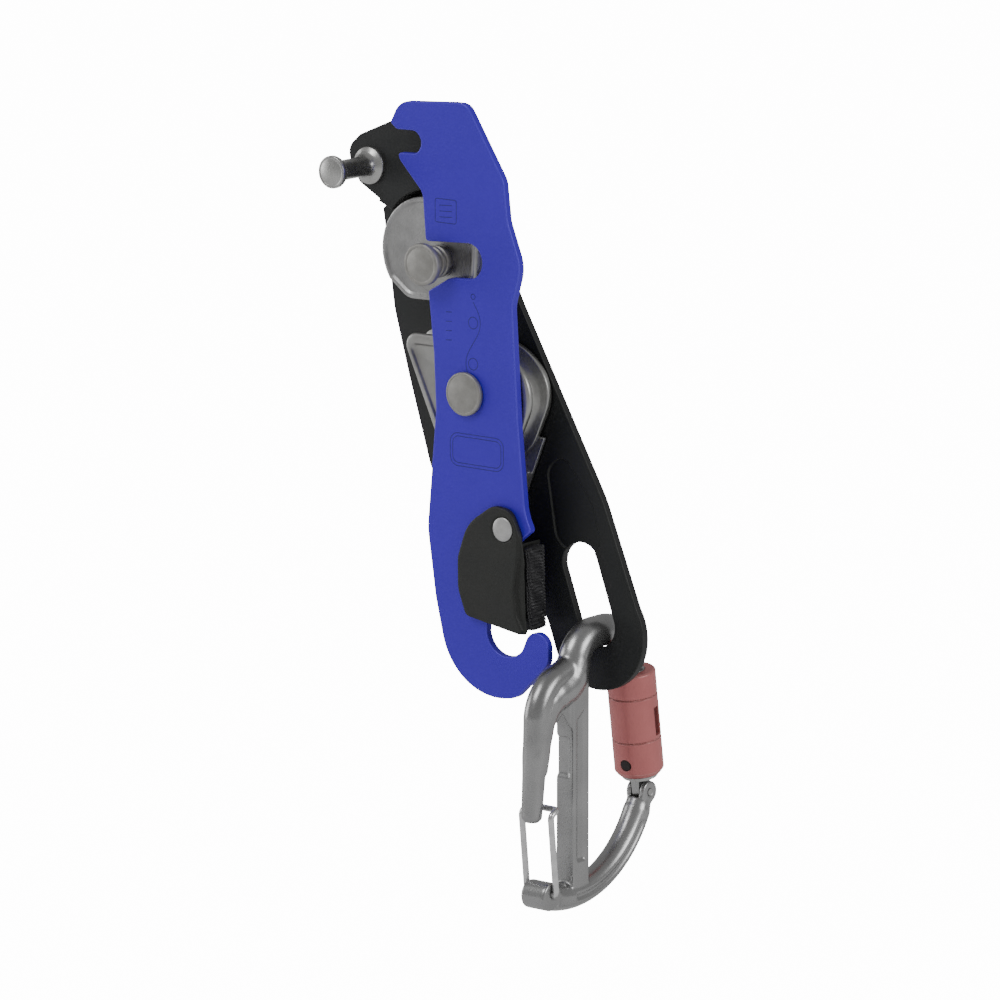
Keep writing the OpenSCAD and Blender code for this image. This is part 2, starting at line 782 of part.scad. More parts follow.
module carabiner_body() {
    color(alloy)
    on_biner()
    difference() {
        union() {
            // spine, a flat-sided bar
            side_slab(spine_w)
                polygon([[spine_y - spine_deep, -crown_bend], [spine_y + spine_deep, -crown_bend],
                    [spine_y + spine_deep, boss[1] - 2], [spine_y - spine_deep, boss[1] - 2]]);
            // crown and nose
            bend([spine_y + crown_bend, -crown_bend], crown_bend, 90, 180, bar_r);
            link([spine_y + crown_bend, 0], [crown_half, 0], bar_r);
            bend(nose_c, nose_bend, nose_turn, 90, bar_r);
            // basket, one bend from the wire gate's boss to the gate's hinge
            bend(basket_c, basket_r, boss_angle, basket_end_angle, basket_bar);
            strut(basket_end + unit(basket_end - hinge) * link_in, hinge,
                basket_bar - link_step, knuckle_r - 0.3);
            translate([-knuckle_half, hinge[0], hinge[1]])
                rotate([0, 90, 0])
                cylinder(r = knuckle_r, h = 2 * knuckle_half);
            translate([-boss_half, boss[0], boss[1]])
                rotate([0, 90, 0])
                cylinder(r = boss_r, h = 2 * boss_half);
            // braking spur, tapered towards its blunt tip
            strut(spur_tip, spur_top + spur_in * link_in, spur_tip_r, spur_r - link_step);
            strut(spur_tip - spur_in * 1.4, spur_tip + spur_in * link_in,
                spur_tip_r - 1.4, spur_tip_r - link_step);
            bend(spur_c, spur_bend, spur_turn, 180 - spur_lean, spur_r);
            link(spur_root, spur_root + 9 * [sin(spur_turn), -cos(spur_turn)], spur_r);
            // web in the crotch of the spur
            side_slab(6.2)
                polygon([[-14, -6], [-26, -14.5], [-33, -19], [-34.4, -26], [-30, -30], [-25.5, -26.5],
                    [-21, -33], [-14, -38]]);
            on_gate_axis()
                translate([0, 0, nose_at])
                cylinder(r = nose_r, h = gate_span - nose_at + 1);
        }
        // room for the gate's tongue
        translate([-fork / 2, hinge[0], hinge[1]])
            rotate([0, 90, 0])
            cylinder(r = knuckle_r + 0.8, h = fork);
        translate([-knuckle_half - 1, hinge[0], hinge[1]])
            rotate([0, 90, 0])
            cylinder(d = hinge_pin_d, h = 2 * knuckle_half + 2);
        // sockets of the wire gate
        for (side = [-1, 1])
            translate([side * 3, wire_foot[0], wire_foot[1]])
                rotate([0, side * 90, 0])
                cylinder(r = wire_d / 2 + run_fit, h = 6);
        // lengthwise flutes of the spine
        for (side = [-1, 1])
            translate([side * (spine_w / 2 + 1.2), 0, 0])
                side_slab(4)
                polygon([[spine_y - 2.6, -30], [spine_y + 2.6, -26], [spine_y + 2.6, boss[1] + 10],
                    [spine_y - 2.6, boss[1] + 10]]);
        // stepped recess in the spine's front edge
        translate([-spine_w / 2 - 1, spine_y - spine_deep - 1, step_z])
            cube([spine_w - 0.8, 2, step_len]);
        // lengthwise flutes of the basket
        for (side = [-1, 1])
            translate([side * (basket_bar + 0.5), 0, 0])
                bend(basket_c, basket_r, flute_from, flute_to, 1.7);
    }
}
module gate_pin() {
    color(steel)
    on_biner()
        translate([-knuckle_half, hinge[0], hinge[1]])
        rotate([0, 90, 0])
        cylinder(d = hinge_pin_d, h = 2 * knuckle_half);
}
// Along the gate: from the hinge towards the nose
module on_gate_axis() {
    translate([0, hinge[0], hinge[1]])
        rotate([gate_tilt, 0, 0])
        children();
}
module on_gate() {
    on_biner()
        on_gate_axis()
        children();
}
module carabiner_gate() {
    color(alloy)
    on_gate()
    difference() {
        union() {
            // tongue in the fork
            translate([-fork / 2 + 0.2, 0, 0])
                rotate([0, 90, 0])
                cylinder(r = tongue_r, h = fork - 0.4);
            translate([-fork / 2 + 0.2, -tongue_r, 0])
                cube([fork - 0.4, 2 * tongue_r, sleeve_from + 2]);
            translate([0, 0, sleeve_from + 1.2])
                cylinder(r = stem_r, h = gate_len - sleeve_from - 1.2);
        }
        translate([-fork, 0, 0])
            rotate([0, 90, 0])
            cylinder(r = hinge_pin_d / 2 + run_fit, h = 2 * fork);
        // bore for the plunger
        translate([0, 0, hinge_pin_d / 2 + 0.6])
            cylinder(r = 1.2, h = 14);
    }
}
module gate_plunger() {
    color(steel)
    on_gate()
        translate([0, 0, hinge_pin_d / 2 + 0.7])
        cylinder(r = 1.2, h = 13.9);
}
module sleeve_collar() {
    color([0.86, 0.86, 0.84])
    on_gate()
    difference() {
        translate([0, 0, sleeve_from + 1.2])
            cylinder(r1 = 6.4, r2 = 7.6, h = collar_t - 1.2);
        cylinder(r = stem_r, h = 20);
    }
}
module locking_sleeve() {
    color(red)
    on_gate()
    difference() {
        union() {
            translate([0, 0, sleeve_low])
                cylinder(r1 = sleeve_d / 2 - 1.2, r2 = sleeve_d / 2, h = 1.6);
            translate([0, 0, sleeve_low + 1.6])
                cylinder(r = sleeve_d / 2, h = sleeve_len - 2.2);
            translate([0, 0, sleeve_top - 0.6])
                cylinder(r1 = sleeve_d / 2, r2 = sleeve_d / 2 - 0.6, h = 0.6);
        }
        translate([0, 0, sleeve_low - 1])
            cylinder(r = sleeve_bore, h = sleeve_len + 4);
        // chamber for the return spring
        translate([0, 0, sleeve_low + chamber_from])
            cylinder(r = sleeve_bore + 2.1, h = chamber_len);
        // two thin ring grooves
        for (part = [0.34, 0.76])
            translate([0, 0, sleeve_low + part * sleeve_len])
                difference() {
                    cylinder(r = sleeve_d, h = 0.5);
                    translate([0, 0, -1])
                        cylinder(r = sleeve_d / 2 - 0.35, h = 3);
                }
        // side slot between the grooves
        rotate([0, 0, slot_turn])
            translate([sleeve_bore, -1.6, sleeve_low + 0.38 * sleeve_len])
            cube([sleeve_d, 3.2, 0.27 * sleeve_len]);
        // seat of the lock ball
        rotate([0, 0, ball_turn])
            translate([0, -stem_r, sleeve_low + 5.4])
            rotate([90, 0, 0])
            cylinder(r = ball_r + run_fit, h = 12);
    }
}
ball_r = 2.2;
ball_turn = 5;
slot_turn = 12;
module lock_ball() {
    color([0.16, 0.10, 0.10])
    on_gate()
        rotate([0, 0, ball_turn])
        translate([0, -stem_r - 1.4, sleeve_low + 5.4])
        rotate([90, 0, 0])
        cylinder(r = ball_r, h = sleeve_d / 2 - stem_r - 1.7);
}
module sleeve_spring() {
    color(steel)
    on_gate()
        translate([0, 0, sleeve_low + chamber_from + spring_coil_d])
        for (i = [0:spring_coils - 1])
            translate([0, 0, i * (chamber_len - 2 * spring_coil_d) / (spring_coils - 1)])
            rotate_extrude()
            translate([sleeve_bore + 1, 0])
            circle(d = spring_coil_d, $fn = 20);
}

// ---------- wire gate of the spur ----------
wire_r = wire_d / 2;
wire_step = 0.06;
module wire_gate() {
    leg = unit(wire_knee - wire_foot);
    turn_in = unit(wire_top - wire_knee);
    color([0.85, 0.86, 0.87])
    on_biner() {
        for (side = [-1, 1]) {
            translate([side * wire_half, 0, 0]) {
                strut(wire_foot - leg * wire_r, wire_knee + leg * 0.8,
                    wire_r - wire_step, wire_r - wire_step);
                strut(wire_knee - turn_in * 0.9, wire_top, wire_r - 2 * wire_step, wire_r - 2 * wire_step);
            }
            translate([side * 3.1, wire_foot[0], wire_foot[1]])
                rotate([0, side * 90, 0])
                cylinder(r = wire_r, h = wire_half - 3.1 + wire_r);
        }
        translate([-wire_half - wire_r, wire_top[0], wire_top[1]])
            rotate([0, 90, 0])
            cylinder(r = wire_r, h = 2 * wire_half + wire_d);
    }
}

fixed_side_plate();
upper_bobbin();
upper_stud();
upper_stud_nut();
bobbin_dowel();
aux_stud();
aux_stud_washer();
cam_axle();
axle_washer();
cam_stop_pin();
cam_spring();
moving_side_plate();
plate_bush();
gate_rivet();
gate_washer();
gate_spring();
safety_gate();
thumb_strip();
lower_cam();
cam_bush();
thrust_washers();
handle_arm();
handle_grip();
handle_rivets();
carabiner_body();
gate_pin();
carabiner_gate();
gate_plunger();
sleeve_collar();
locking_sleeve();
sleeve_spring();
lock_ball();
wire_gate();
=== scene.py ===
"""Looks of a self-braking rope descender with its braking carabiner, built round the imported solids.

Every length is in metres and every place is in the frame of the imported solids: the origin is on the
upper stud's axis in the middle of the rope channel, +Z is up as the device hangs, and -Y is its front.
"""

import logging
import math
from dataclasses import dataclass
from enum import Enum
from typing import Optional

import bmesh
import bpy
import numpy as np
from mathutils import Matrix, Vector


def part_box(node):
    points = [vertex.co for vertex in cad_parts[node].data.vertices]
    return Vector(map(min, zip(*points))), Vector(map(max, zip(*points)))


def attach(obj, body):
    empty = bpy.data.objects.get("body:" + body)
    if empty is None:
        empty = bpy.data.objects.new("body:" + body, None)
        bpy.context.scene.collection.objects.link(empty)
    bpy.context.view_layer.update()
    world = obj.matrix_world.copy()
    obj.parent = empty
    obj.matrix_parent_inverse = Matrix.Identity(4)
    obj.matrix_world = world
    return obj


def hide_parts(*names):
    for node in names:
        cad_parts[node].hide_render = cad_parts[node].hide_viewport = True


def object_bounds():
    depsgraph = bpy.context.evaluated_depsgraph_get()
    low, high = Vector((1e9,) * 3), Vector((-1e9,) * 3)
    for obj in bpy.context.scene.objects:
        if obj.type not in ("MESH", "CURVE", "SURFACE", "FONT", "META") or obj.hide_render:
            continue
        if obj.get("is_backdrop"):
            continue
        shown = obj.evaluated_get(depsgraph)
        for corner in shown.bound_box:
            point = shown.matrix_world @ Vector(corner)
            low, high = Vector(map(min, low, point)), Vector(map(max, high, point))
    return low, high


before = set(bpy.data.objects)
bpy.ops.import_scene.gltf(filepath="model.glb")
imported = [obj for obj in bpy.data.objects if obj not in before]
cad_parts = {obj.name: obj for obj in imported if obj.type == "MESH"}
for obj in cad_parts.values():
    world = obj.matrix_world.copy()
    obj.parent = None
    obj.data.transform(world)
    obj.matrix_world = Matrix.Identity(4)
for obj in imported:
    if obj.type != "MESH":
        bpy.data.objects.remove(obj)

LOG = logging.getLogger("descender")
MM = 0.001
Colour = tuple[float, float, float]


# ---------------------------------------------------------------- finishes


class Grain(Enum):
    """The kinds of fine relief that a finish can carry."""

    CAST = "cast"
    TURNED = "turned"
    PEBBLED = "pebbled"


@dataclass(frozen=True)
class Finish:
    """One surface finish: its colour, how it varies, its gloss and its fine relief.

    Attributes:
        name: name of the material.
        colour: linear base colour.
        drift: linear colour that the broad mottling moves towards.
        drift_scale: noise scale of the mottling, per metre.
        metallic: metallic value of the shader.
        rough_low: roughness where the fine noise is dark.
        rough_high: roughness where the fine noise is light.
        grain: kind of relief.
        grain_scale: scale of the relief, per metre.
        grain_depth: bump distance of the relief, in metres.
        grain_strength: bump strength of the relief.
    """

    name: str
    colour: Colour
    drift: Colour
    drift_scale: float = 60.0
    metallic: float = 0.0
    rough_low: float = 0.35
    rough_high: float = 0.5
    grain: Grain = Grain.CAST
    grain_scale: float = 2500.0
    grain_depth: float = 0.00002
    grain_strength: float = 0.25

    def build(self) -> bpy.types.Material:
        """Builds the node material.

        The colour is the base colour mixed towards the drift colour by a broad noise. Roughness runs
        between its two values by the grain, and the relief is a bump of the same grain.

        Returns:
            The material.
        """
        mat = bpy.data.materials.new(self.name)
        mat.use_nodes = True
        tree = mat.node_tree
        nodes, links = tree.nodes, tree.links
        shader = nodes["Principled BSDF"]
        place = nodes.new("ShaderNodeTexCoord")
        broad = nodes.new("ShaderNodeTexNoise")
        broad.inputs["Scale"].default_value = self.drift_scale
        broad.inputs["Detail"].default_value = 5.0
        links.new(place.outputs["Object"], broad.inputs["Vector"])
        ramp = nodes.new("ShaderNodeMapRange")
        ramp.inputs["From Min"].default_value = 0.32
        ramp.inputs["From Max"].default_value = 0.68
        links.new(broad.outputs["Fac"], ramp.inputs["Value"])
        tint = nodes.new("ShaderNodeMix")
        tint.data_type = "RGBA"
        tint.inputs["A"].default_value = (*self.colour, 1.0)
        tint.inputs["B"].default_value = (*self.drift, 1.0)
        links.new(ramp.outputs["Result"], tint.inputs["Factor"])
        links.new(tint.outputs["Result"], shader.inputs["Base Color"])
        fine = self._grain(tree, place)
        rough = nodes.new("ShaderNodeMapRange")
        rough.inputs["From Min"].default_value = 0.25
        rough.inputs["From Max"].default_value = 0.75
        rough.inputs["To Min"].default_value = self.rough_low
        rough.inputs["To Max"].default_value = self.rough_high
        links.new(fine, rough.inputs["Value"])
        links.new(rough.outputs["Result"], shader.inputs["Roughness"])
        bump = nodes.new("ShaderNodeBump")
        bump.inputs["Strength"].default_value = self.grain_strength
        bump.inputs["Distance"].default_value = self.grain_depth
        links.new(fine, bump.inputs["Height"])
        links.new(bump.outputs["Normal"], shader.inputs["Normal"])
        shader.inputs["Metallic"].default_value = self.metallic
        return mat

    def _grain(self, tree: bpy.types.NodeTree, place: bpy.types.Node) -> bpy.types.NodeSocket:
        """Builds the fine relief of the finish.

        Args:
            tree: the material's node tree.
            place: its texture coordinate node.

        Returns:
            A socket that runs from 0 to 1 with the relief.
        """
        nodes, links = tree.nodes, tree.links
        spot = place.outputs["Object"]
        if self.grain is Grain.PEBBLED:
            cells = nodes.new("ShaderNodeTexVoronoi")
            cells.inputs["Scale"].default_value = self.grain_scale
            links.new(spot, cells.inputs["Vector"])
            return cells.outputs["Distance"]
        if self.grain is Grain.TURNED:
            split = nodes.new("ShaderNodeSeparateXYZ")
            links.new(spot, split.inputs["Vector"])
            join = nodes.new("ShaderNodeCombineXYZ")
            links.new(split.outputs["X"], join.inputs["X"])
            links.new(split.outputs["Z"], join.inputs["Y"])
            reach = nodes.new("ShaderNodeVectorMath")
            reach.operation = "LENGTH"
            links.new(join.outputs["Vector"], reach.inputs[0])
            lines = nodes.new("ShaderNodeTexNoise")
            lines.noise_dimensions = "1D"
            lines.inputs["Scale"].default_value = self.grain_scale
            links.new(reach.outputs["Value"], lines.inputs["W"])
            return lines.outputs["Fac"]
        noise = nodes.new("ShaderNodeTexNoise")
        noise.inputs["Scale"].default_value = self.grain_scale
        noise.inputs["Detail"].default_value = 3.0
        links.new(spot, noise.inputs["Vector"])
        return noise.outputs["Fac"]


BLUE_ANODISED = Finish(
    "blue_anodised", (0.046, 0.010, 0.560), (0.042, 0.010, 0.520), 45.0, 0.15, 0.44, 0.52,
    Grain.CAST, 3500.0, 0.00001, 0.18)
# Painted highlight: a lighter, glossier blue laid on the blue plate's bevelled edge strips, standing in for the
# light that its chamfers catch.
BLUE_EDGE_HIGHLIGHT = Finish(
    "blue_anodised_painted_edge_highlight", (0.088, 0.048, 0.660), (0.072, 0.036, 0.620), 300.0, 0.2, 0.34, 0.46,
    Grain.CAST, 3500.0, 0.00001, 0.18)
BLACK_ANODISED = Finish(
    "black_anodised", (0.0165, 0.0175, 0.0180), (0.0220, 0.0230, 0.0235), 50.0, 0.3, 0.42, 0.54,
    Grain.CAST, 3000.0, 0.00001, 0.2)
# Painted highlight: a lighter grey laid on the black plate's bevelled edge strips, standing in for the light
# that its chamfers catch.
BLACK_EDGE_HIGHLIGHT = Finish(
    "black_anodised_painted_edge_highlight", (0.034, 0.035, 0.034), (0.022, 0.023, 0.022), 260.0, 0.4, 0.36, 0.48,
    Grain.CAST, 3000.0, 0.00001, 0.2)
BLACK_PLASTIC = Finish(
    "black_moulded_plastic", (0.0105, 0.0115, 0.0105), (0.015, 0.0155, 0.0135), 70.0, 0.0, 0.5, 0.65,
    Grain.PEBBLED, 2600.0, 0.00003, 0.22)
THUMB_PLASTIC = Finish(
    "thumb_strip_plastic", (0.020, 0.020, 0.022), (0.034, 0.034, 0.036), 900.0, 0.0, 0.38, 0.6,
    Grain.PEBBLED, 1300.0, 0.0001, 0.5)
CAM_STEEL = Finish(
    "cast_cam_steel", (0.44, 0.44, 0.43), (0.33, 0.33, 0.32), 90.0, 0.92, 0.3, 0.44,
    Grain.CAST, 1600.0, 0.00002, 0.2)
BOBBIN_STEEL = Finish(
    "turned_bobbin_steel", (0.42, 0.42, 0.42), (0.31, 0.31, 0.31), 110.0, 0.92, 0.26, 0.48,
    Grain.TURNED, 2400.0, 0.00003, 0.35)
HANDLE_STEEL = Finish(
    "bright_handle_steel", (0.46, 0.46, 0.48), (0.38, 0.38, 0.40), 90.0, 0.85, 0.34, 0.42,
    Grain.CAST, 700.0, 0.00001, 0.03)
HEAD_STEEL = Finish(
    "blasted_head_steel", (0.36, 0.355, 0.34), (0.29, 0.285, 0.27), 260.0, 0.75, 0.42, 0.58,
    Grain.CAST, 2600.0, 0.00002, 0.3)
PIN_STEEL = Finish(
    "turned_pin_steel", (0.5, 0.5, 0.49), (0.42, 0.42, 0.41), 160.0, 0.95, 0.24, 0.34,
    Grain.CAST, 900.0, 0.00001, 0.05)
RIVET_STEEL = Finish(
    "pale_rivet_steel", (0.52, 0.52, 0.515), (0.44, 0.44, 0.435), 260.0, 0.75, 0.36, 0.5,
    Grain.CAST, 2600.0, 0.00002, 0.3)
BEARING_BRONZE = Finish(
    "bearing_bronze", (0.42, 0.29, 0.13), (0.34, 0.22, 0.1), 120.0, 0.9, 0.35, 0.5,
    Grain.CAST, 1800.0, 0.00002, 0.2)
WASHER_PLASTIC = Finish(
    "pale_washer_plastic", (0.66, 0.65, 0.61), (0.58, 0.57, 0.53), 150.0, 0.0, 0.45, 0.6,
    Grain.PEBBLED, 2200.0, 0.00002, 0.2)
CARABINER_ALLOY = Finish(
    "tumbled_carabiner_alloy", (0.40, 0.40, 0.40), (0.32, 0.32, 0.32), 55.0, 0.92, 0.24, 0.34,
    Grain.CAST, 1500.0, 0.00002, 0.12)
WIRE_STEEL = Finish(
    "drawn_wire_steel", (0.78, 0.78, 0.78), (0.64, 0.64, 0.64), 300.0, 0.9, 0.2, 0.32,
    Grain.CAST, 900.0, 0.00001, 0.04)
SLEEVE_RED = Finish(
    "red_anodised_sleeve", (0.61, 0.195, 0.190), (0.55, 0.170, 0.166), 80.0, 0.35, 0.36, 0.48,
    Grain.CAST, 3200.0, 0.00001, 0.18)
# Painted highlight: a lighter red laid on the sleeve's bevelled edge strips, standing in for the light that its
# edges catch.
SLEEVE_EDGE_HIGHLIGHT = Finish(
    "red_anodised_painted_edge_highlight", (0.62, 0.26, 0.25), (0.52, 0.20, 0.19), 260.0, 0.35, 0.32, 0.44,
    Grain.CAST, 3200.0, 0.00001, 0.18)
COLLAR_PLASTIC = Finish(
    "pale_collar_plastic", (0.55, 0.55, 0.54), (0.48, 0.48, 0.47), 160.0, 0.0, 0.4, 0.55,
    Grain.PEBBLED, 2600.0, 0.00002, 0.2)
DARK_BUTTON = Finish(
    "dark_lock_button", (0.02, 0.016, 0.016), (0.03, 0.022, 0.022), 300.0, 0.3, 0.35, 0.5,
    Grain.CAST, 2600.0, 0.00001, 0.2)
MARKING = Finish(
    "engraved_marking", (0.030, 0.020, 0.250), (0.022, 0.016, 0.200), 400.0, 0.2, 0.55, 0.7,
    Grain.CAST, 2600.0, 0.00001, 0.2)


class FinishShelf:
    """Keeps one material for each finish, so that pieces share it."""

    def __init__(self) -> None:
        """Starts with an empty shelf."""
        self._made: dict[str, bpy.types.Material] = {}

    def get(self, finish: Finish) -> bpy.types.Material:
        """Returns the material of a finish, building it the first time.

        Args:
            finish: the finish.

        Returns:
            Its material.
        """
        if finish.name not in self._made:
            self._made[finish.name] = finish.build()
        return self._made[finish.name]


SHELF = FinishShelf()


# ---------------------------------------------------------------- mesh making


def new_piece(name: str, points: np.ndarray, faces: np.ndarray, smooth_angle: float = 40.0) -> bpy.types.Object:
    """Makes an object from arrays of points and of four-cornered faces.

    Args:
        name: name of the object.
        points: one row per vertex, in metres.
        faces: one row of vertex numbers per face.
        smooth_angle: edges sharper than this many degrees stay crisp.

    Returns:
        The object, linked to the scene and at the origin.
    """
    mesh = bpy.data.meshes.new(name)
    mesh.from_pydata(points.tolist(), [], faces.tolist())
    return finish_mesh(name, mesh, smooth_angle)


def finish_mesh(name: str, mesh: bpy.types.Mesh, smooth_angle: float) -> bpy.types.Object:
    """Merges doubles, points the faces outwards and shades a mesh, and makes its object.

    Args:
        name: name of the object.
        mesh: the mesh.
        smooth_angle: edges sharper than this many degrees stay crisp.

    Returns:
        The object, linked to the scene.
    """
    work = bmesh.new()
    work.from_mesh(mesh)
    bmesh.ops.remove_doubles(work, verts=work.verts, dist=2e-6)
    bmesh.ops.dissolve_degenerate(work, dist=1e-7, edges=work.edges)
    bmesh.ops.recalc_face_normals(work, faces=work.faces)
    work.to_mesh(mesh)
    work.free()
    mesh.polygons.foreach_set("use_smooth", np.ones(len(mesh.polygons), dtype=bool))
    mesh.set_sharp_from_angle(angle=math.radians(smooth_angle))
    piece = bpy.data.objects.new(name, mesh)
    bpy.context.scene.collection.objects.link(piece)
    return piece


def grid_faces(rows: int, columns: int, wrap: bool) -> np.ndarray:
    """Numbers the faces of a grid of points, with its columns closed into a ring if asked.

    Args:
        rows: number of rows of points.
        columns: number of points in a row.
        wrap: whether the last column joins the first.

    Returns:
        One row of four vertex numbers per face.
    """
    width = columns if wrap else columns - 1
    i, j = np.meshgrid(np.arange(rows - 1), np.arange(width), indexing="ij")
    k = (j + 1) % columns
    corners = [i * columns + j, i * columns + k, (i + 1) * columns + k, (i + 1) * columns + j]
    return np.stack(corners, -1).reshape(-1, 4)


def tube(path: np.ndarray, radius: np.ndarray, sides: int = 16) -> tuple[np.ndarray, np.ndarray]:
    """Carries a circle along a path, its ends drawn in to a point.

    The tangent is the path's gradient. The first side vector is square to it, and each next one is
    the last with its part along the new tangent taken out, so the circle doesn't twist.

    Args:
        path: one row per station.
        radius: the tube's radius at each station.
        sides: number of points round the circle.

    Returns:
        Points and faces.
    """
    tangent = np.gradient(path, axis=0)
    tangent /= np.linalg.norm(tangent, axis=1, keepdims=True)
    side = np.cross(tangent[0], [0.31, 0.83, 0.46])
    sides_at = []
    for t in tangent:
        side = side - t * (side @ t)
        side = side / np.linalg.norm(side)
        sides_at.append(side)
    across = np.array(sides_at)
    up = np.cross(tangent, across)
    turn = np.linspace(0, 2 * np.pi, sides, endpoint=False)
    ring = across[:, None, :] * np.cos(turn)[None, :, None] + up[:, None, :] * np.sin(turn)[None, :, None]
    points = path[:, None, :] + ring * radius[:, None, None]
    first, last = (np.repeat(end[:, None, :], sides, 1) for end in (path[:1], path[-1:]))
    points = np.concatenate([first, points, last])
    return points.reshape(-1, 3), grid_faces(len(path) + 2, sides, True)


def smooth_path(corners: np.ndarray, rounding: float, steps: int = 8) -> np.ndarray:
    """Rounds the corners of a polyline with quadratic bends.

    Each inner corner C becomes (1-t)^2 A + 2t(1-t) C + t^2 B, where A and B lie the rounding length
    back and forward along the two sides.

    Args:
        corners: one row per corner.
        rounding: distance from a corner at which its bend starts.
        steps: points in each bend.

    Returns:
        The rounded path, one row per point.
    """
    t = np.linspace(0, 1, steps)[:, None]
    parts = [corners[:1]]
    for before, here, after in zip(corners[:-2], corners[1:-1], corners[2:]):
        back, on = before - here, after - here
        a = here + back / np.linalg.norm(back) * min(rounding, 0.49 * np.linalg.norm(back))
        b = here + on / np.linalg.norm(on) * min(rounding, 0.49 * np.linalg.norm(on))
        parts.append((1 - t) ** 2 * a + 2 * t * (1 - t) * here + t ** 2 * b)
    parts.append(corners[-1:])
    return np.concatenate(parts)


def lathe(profile: np.ndarray, sides: int = 96) -> tuple[np.ndarray, np.ndarray]:
    """Turns a profile about the Y axis through the origin: a point is (r cos a, y, r sin a).

    Args:
        profile: one row of radius and y per station.
        sides: number of points round each ring.

    Returns:
        Points and faces.
    """
    turn = np.linspace(0, 2 * np.pi, sides, endpoint=False)
    r, y = profile[:, :1], profile[:, 1:]
    points = np.stack([r * np.cos(turn), np.broadcast_to(y, (len(profile), sides)), r * np.sin(turn)], -1)
    return points.reshape(-1, 3), grid_faces(len(profile), sides, True)


def rounded(corners: np.ndarray, steps: int = 12) -> np.ndarray:
    """Rounds each corner of a closed outline with an arc tangent to both of its sides.

    The arc's centre lies on the corner's bisector at the radius divided by the sine of half the angle.

    Args:
        corners: one row of x, z and radius per corner.
        steps: points in each arc.

    Returns:
        One row of x and z per point.
    """
    parts = []
    for before, here, after in zip(np.roll(corners, 1, 0), corners, np.roll(corners, -1, 0)):
        a, b = before[:2] - here[:2], after[:2] - here[:2]
        la, lb = np.linalg.norm(a), np.linalg.norm(b)
        a, b = a / la, b / lb
        half = math.acos(float(np.clip(a @ b, -1, 1))) / 2
        reach = min(here[2] / math.tan(half), 0.49 * la, 0.49 * lb)
        radius = reach * math.tan(half)
        middle = here[:2] + (a + b) / np.linalg.norm(a + b) * radius / math.sin(half)
        first, last = here[:2] + a * reach - middle, here[:2] + b * reach - middle
        start = math.atan2(first[1], first[0])
        sweep = (math.atan2(last[1], last[0]) - start + math.pi) % (2 * math.pi) - math.pi
        t = start + sweep * np.linspace(0, 1, steps)
        parts.append(middle + radius * np.stack([np.cos(t), np.sin(t)], -1))
    return np.concatenate(parts)


def reach_round(outline: np.ndarray, turn: np.ndarray) -> np.ndarray:
    """Works out how far a closed outline lies from the origin in each direction.

    Args:
        outline: one row of x and z per point, going once round the origin.
        turn: the directions, in radians.

    Returns:
        The distance in each direction.
    """
    sides = np.roll(outline, -1, 0) - outline
    share = np.linspace(0, 1, 16, endpoint=False)[None, :, None]
    dense = (outline[:, None, :] + sides[:, None, :] * share).reshape(-1, 2)
    angle = np.arctan2(dense[:, 1], dense[:, 0]) % (2 * np.pi)
    order = np.argsort(angle)
    reach = np.hypot(dense[:, 0], dense[:, 1])
    return np.interp(turn % (2 * np.pi), angle[order], reach[order], period=2 * np.pi)


def band(path: np.ndarray, width: float, y: float, lift: float) -> tuple[np.ndarray, np.ndarray]:
    """Lays a thin flat band along a path in X and Z: each station is the path's point plus and minus
    half the width along its normal, at the face and a little proud of it.

    Args:
        path: one row of x and z per point.
        width: width of the band.
        y: the face that it lies on.
        lift: how far it stands proud, towards -Y.

    Returns:
        Points and faces.
    """
    along = np.gradient(path, axis=0)
    along /= np.linalg.norm(along, axis=1, keepdims=True)
    normal = np.stack([-along[:, 1], along[:, 0]], -1) * width / 2
    left, right = path + normal, path - normal
    rows = [np.stack([p[:, 0], np.full(len(p), h), p[:, 1]], -1)
            for p, h in ((left, y), (left, y - lift), (right, y - lift), (right, y))]
    points = np.stack(rows, 1)
    cap = np.repeat(points.mean(1, keepdims=True), 4, 1)
    points = np.concatenate([cap[:1], points, cap[-1:]])
    return points.reshape(-1, 3), grid_faces(len(path) + 2, 4, True)


def joined(parts: list[tuple[np.ndarray, np.ndarray]]) -> tuple[np.ndarray, np.ndarray]:
    """Joins several surfaces into one set of points and faces.

    Args:
        parts: points and faces of each surface.

    Returns:
        Points and faces of them all.
    """
    starts = np.cumsum([0] + [len(p) for p, _ in parts[:-1]])
    return np.concatenate([p for p, _ in parts]), np.concatenate([f + k for (_, f), k in zip(parts, starts)])


def coil(centre: np.ndarray, axis: np.ndarray, radius: float, turns: float, length: float,
         steps: int) -> np.ndarray:
    """Works out a helix: centre + radius (cos a, sin a) square to the axis + length a / (2 pi turns) along it.

    Args:
        centre: middle of the helix's first turn.
        axis: unit vector along the helix.
        radius: radius of the helix.
        turns: number of turns.
        length: rise over all the turns.
        steps: number of points.

    Returns:
        One row per point.
    """
    u = np.cross(axis, [1.0, 0.2, 0.1])
    u /= np.linalg.norm(u)
    v = np.cross(axis, u)
    a = np.linspace(0, 2 * np.pi * turns, steps)[:, None]
    return centre + radius * (np.cos(a) * u + np.sin(a) * v) + axis * length * a / (2 * np.pi * turns)


def merged_copy(node: str) -> bpy.types.Mesh:
    """Copies a solid's mesh with its loose triangles joined.

    Args:
        node: the solid.

    Returns:
        The copy.
    """
    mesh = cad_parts[node].data.copy()
    work = bmesh.new()
    work.from_mesh(mesh)
    bmesh.ops.remove_doubles(work, verts=work.verts, dist=2e-6)
    work.to_mesh(mesh)
    work.free()
    return mesh


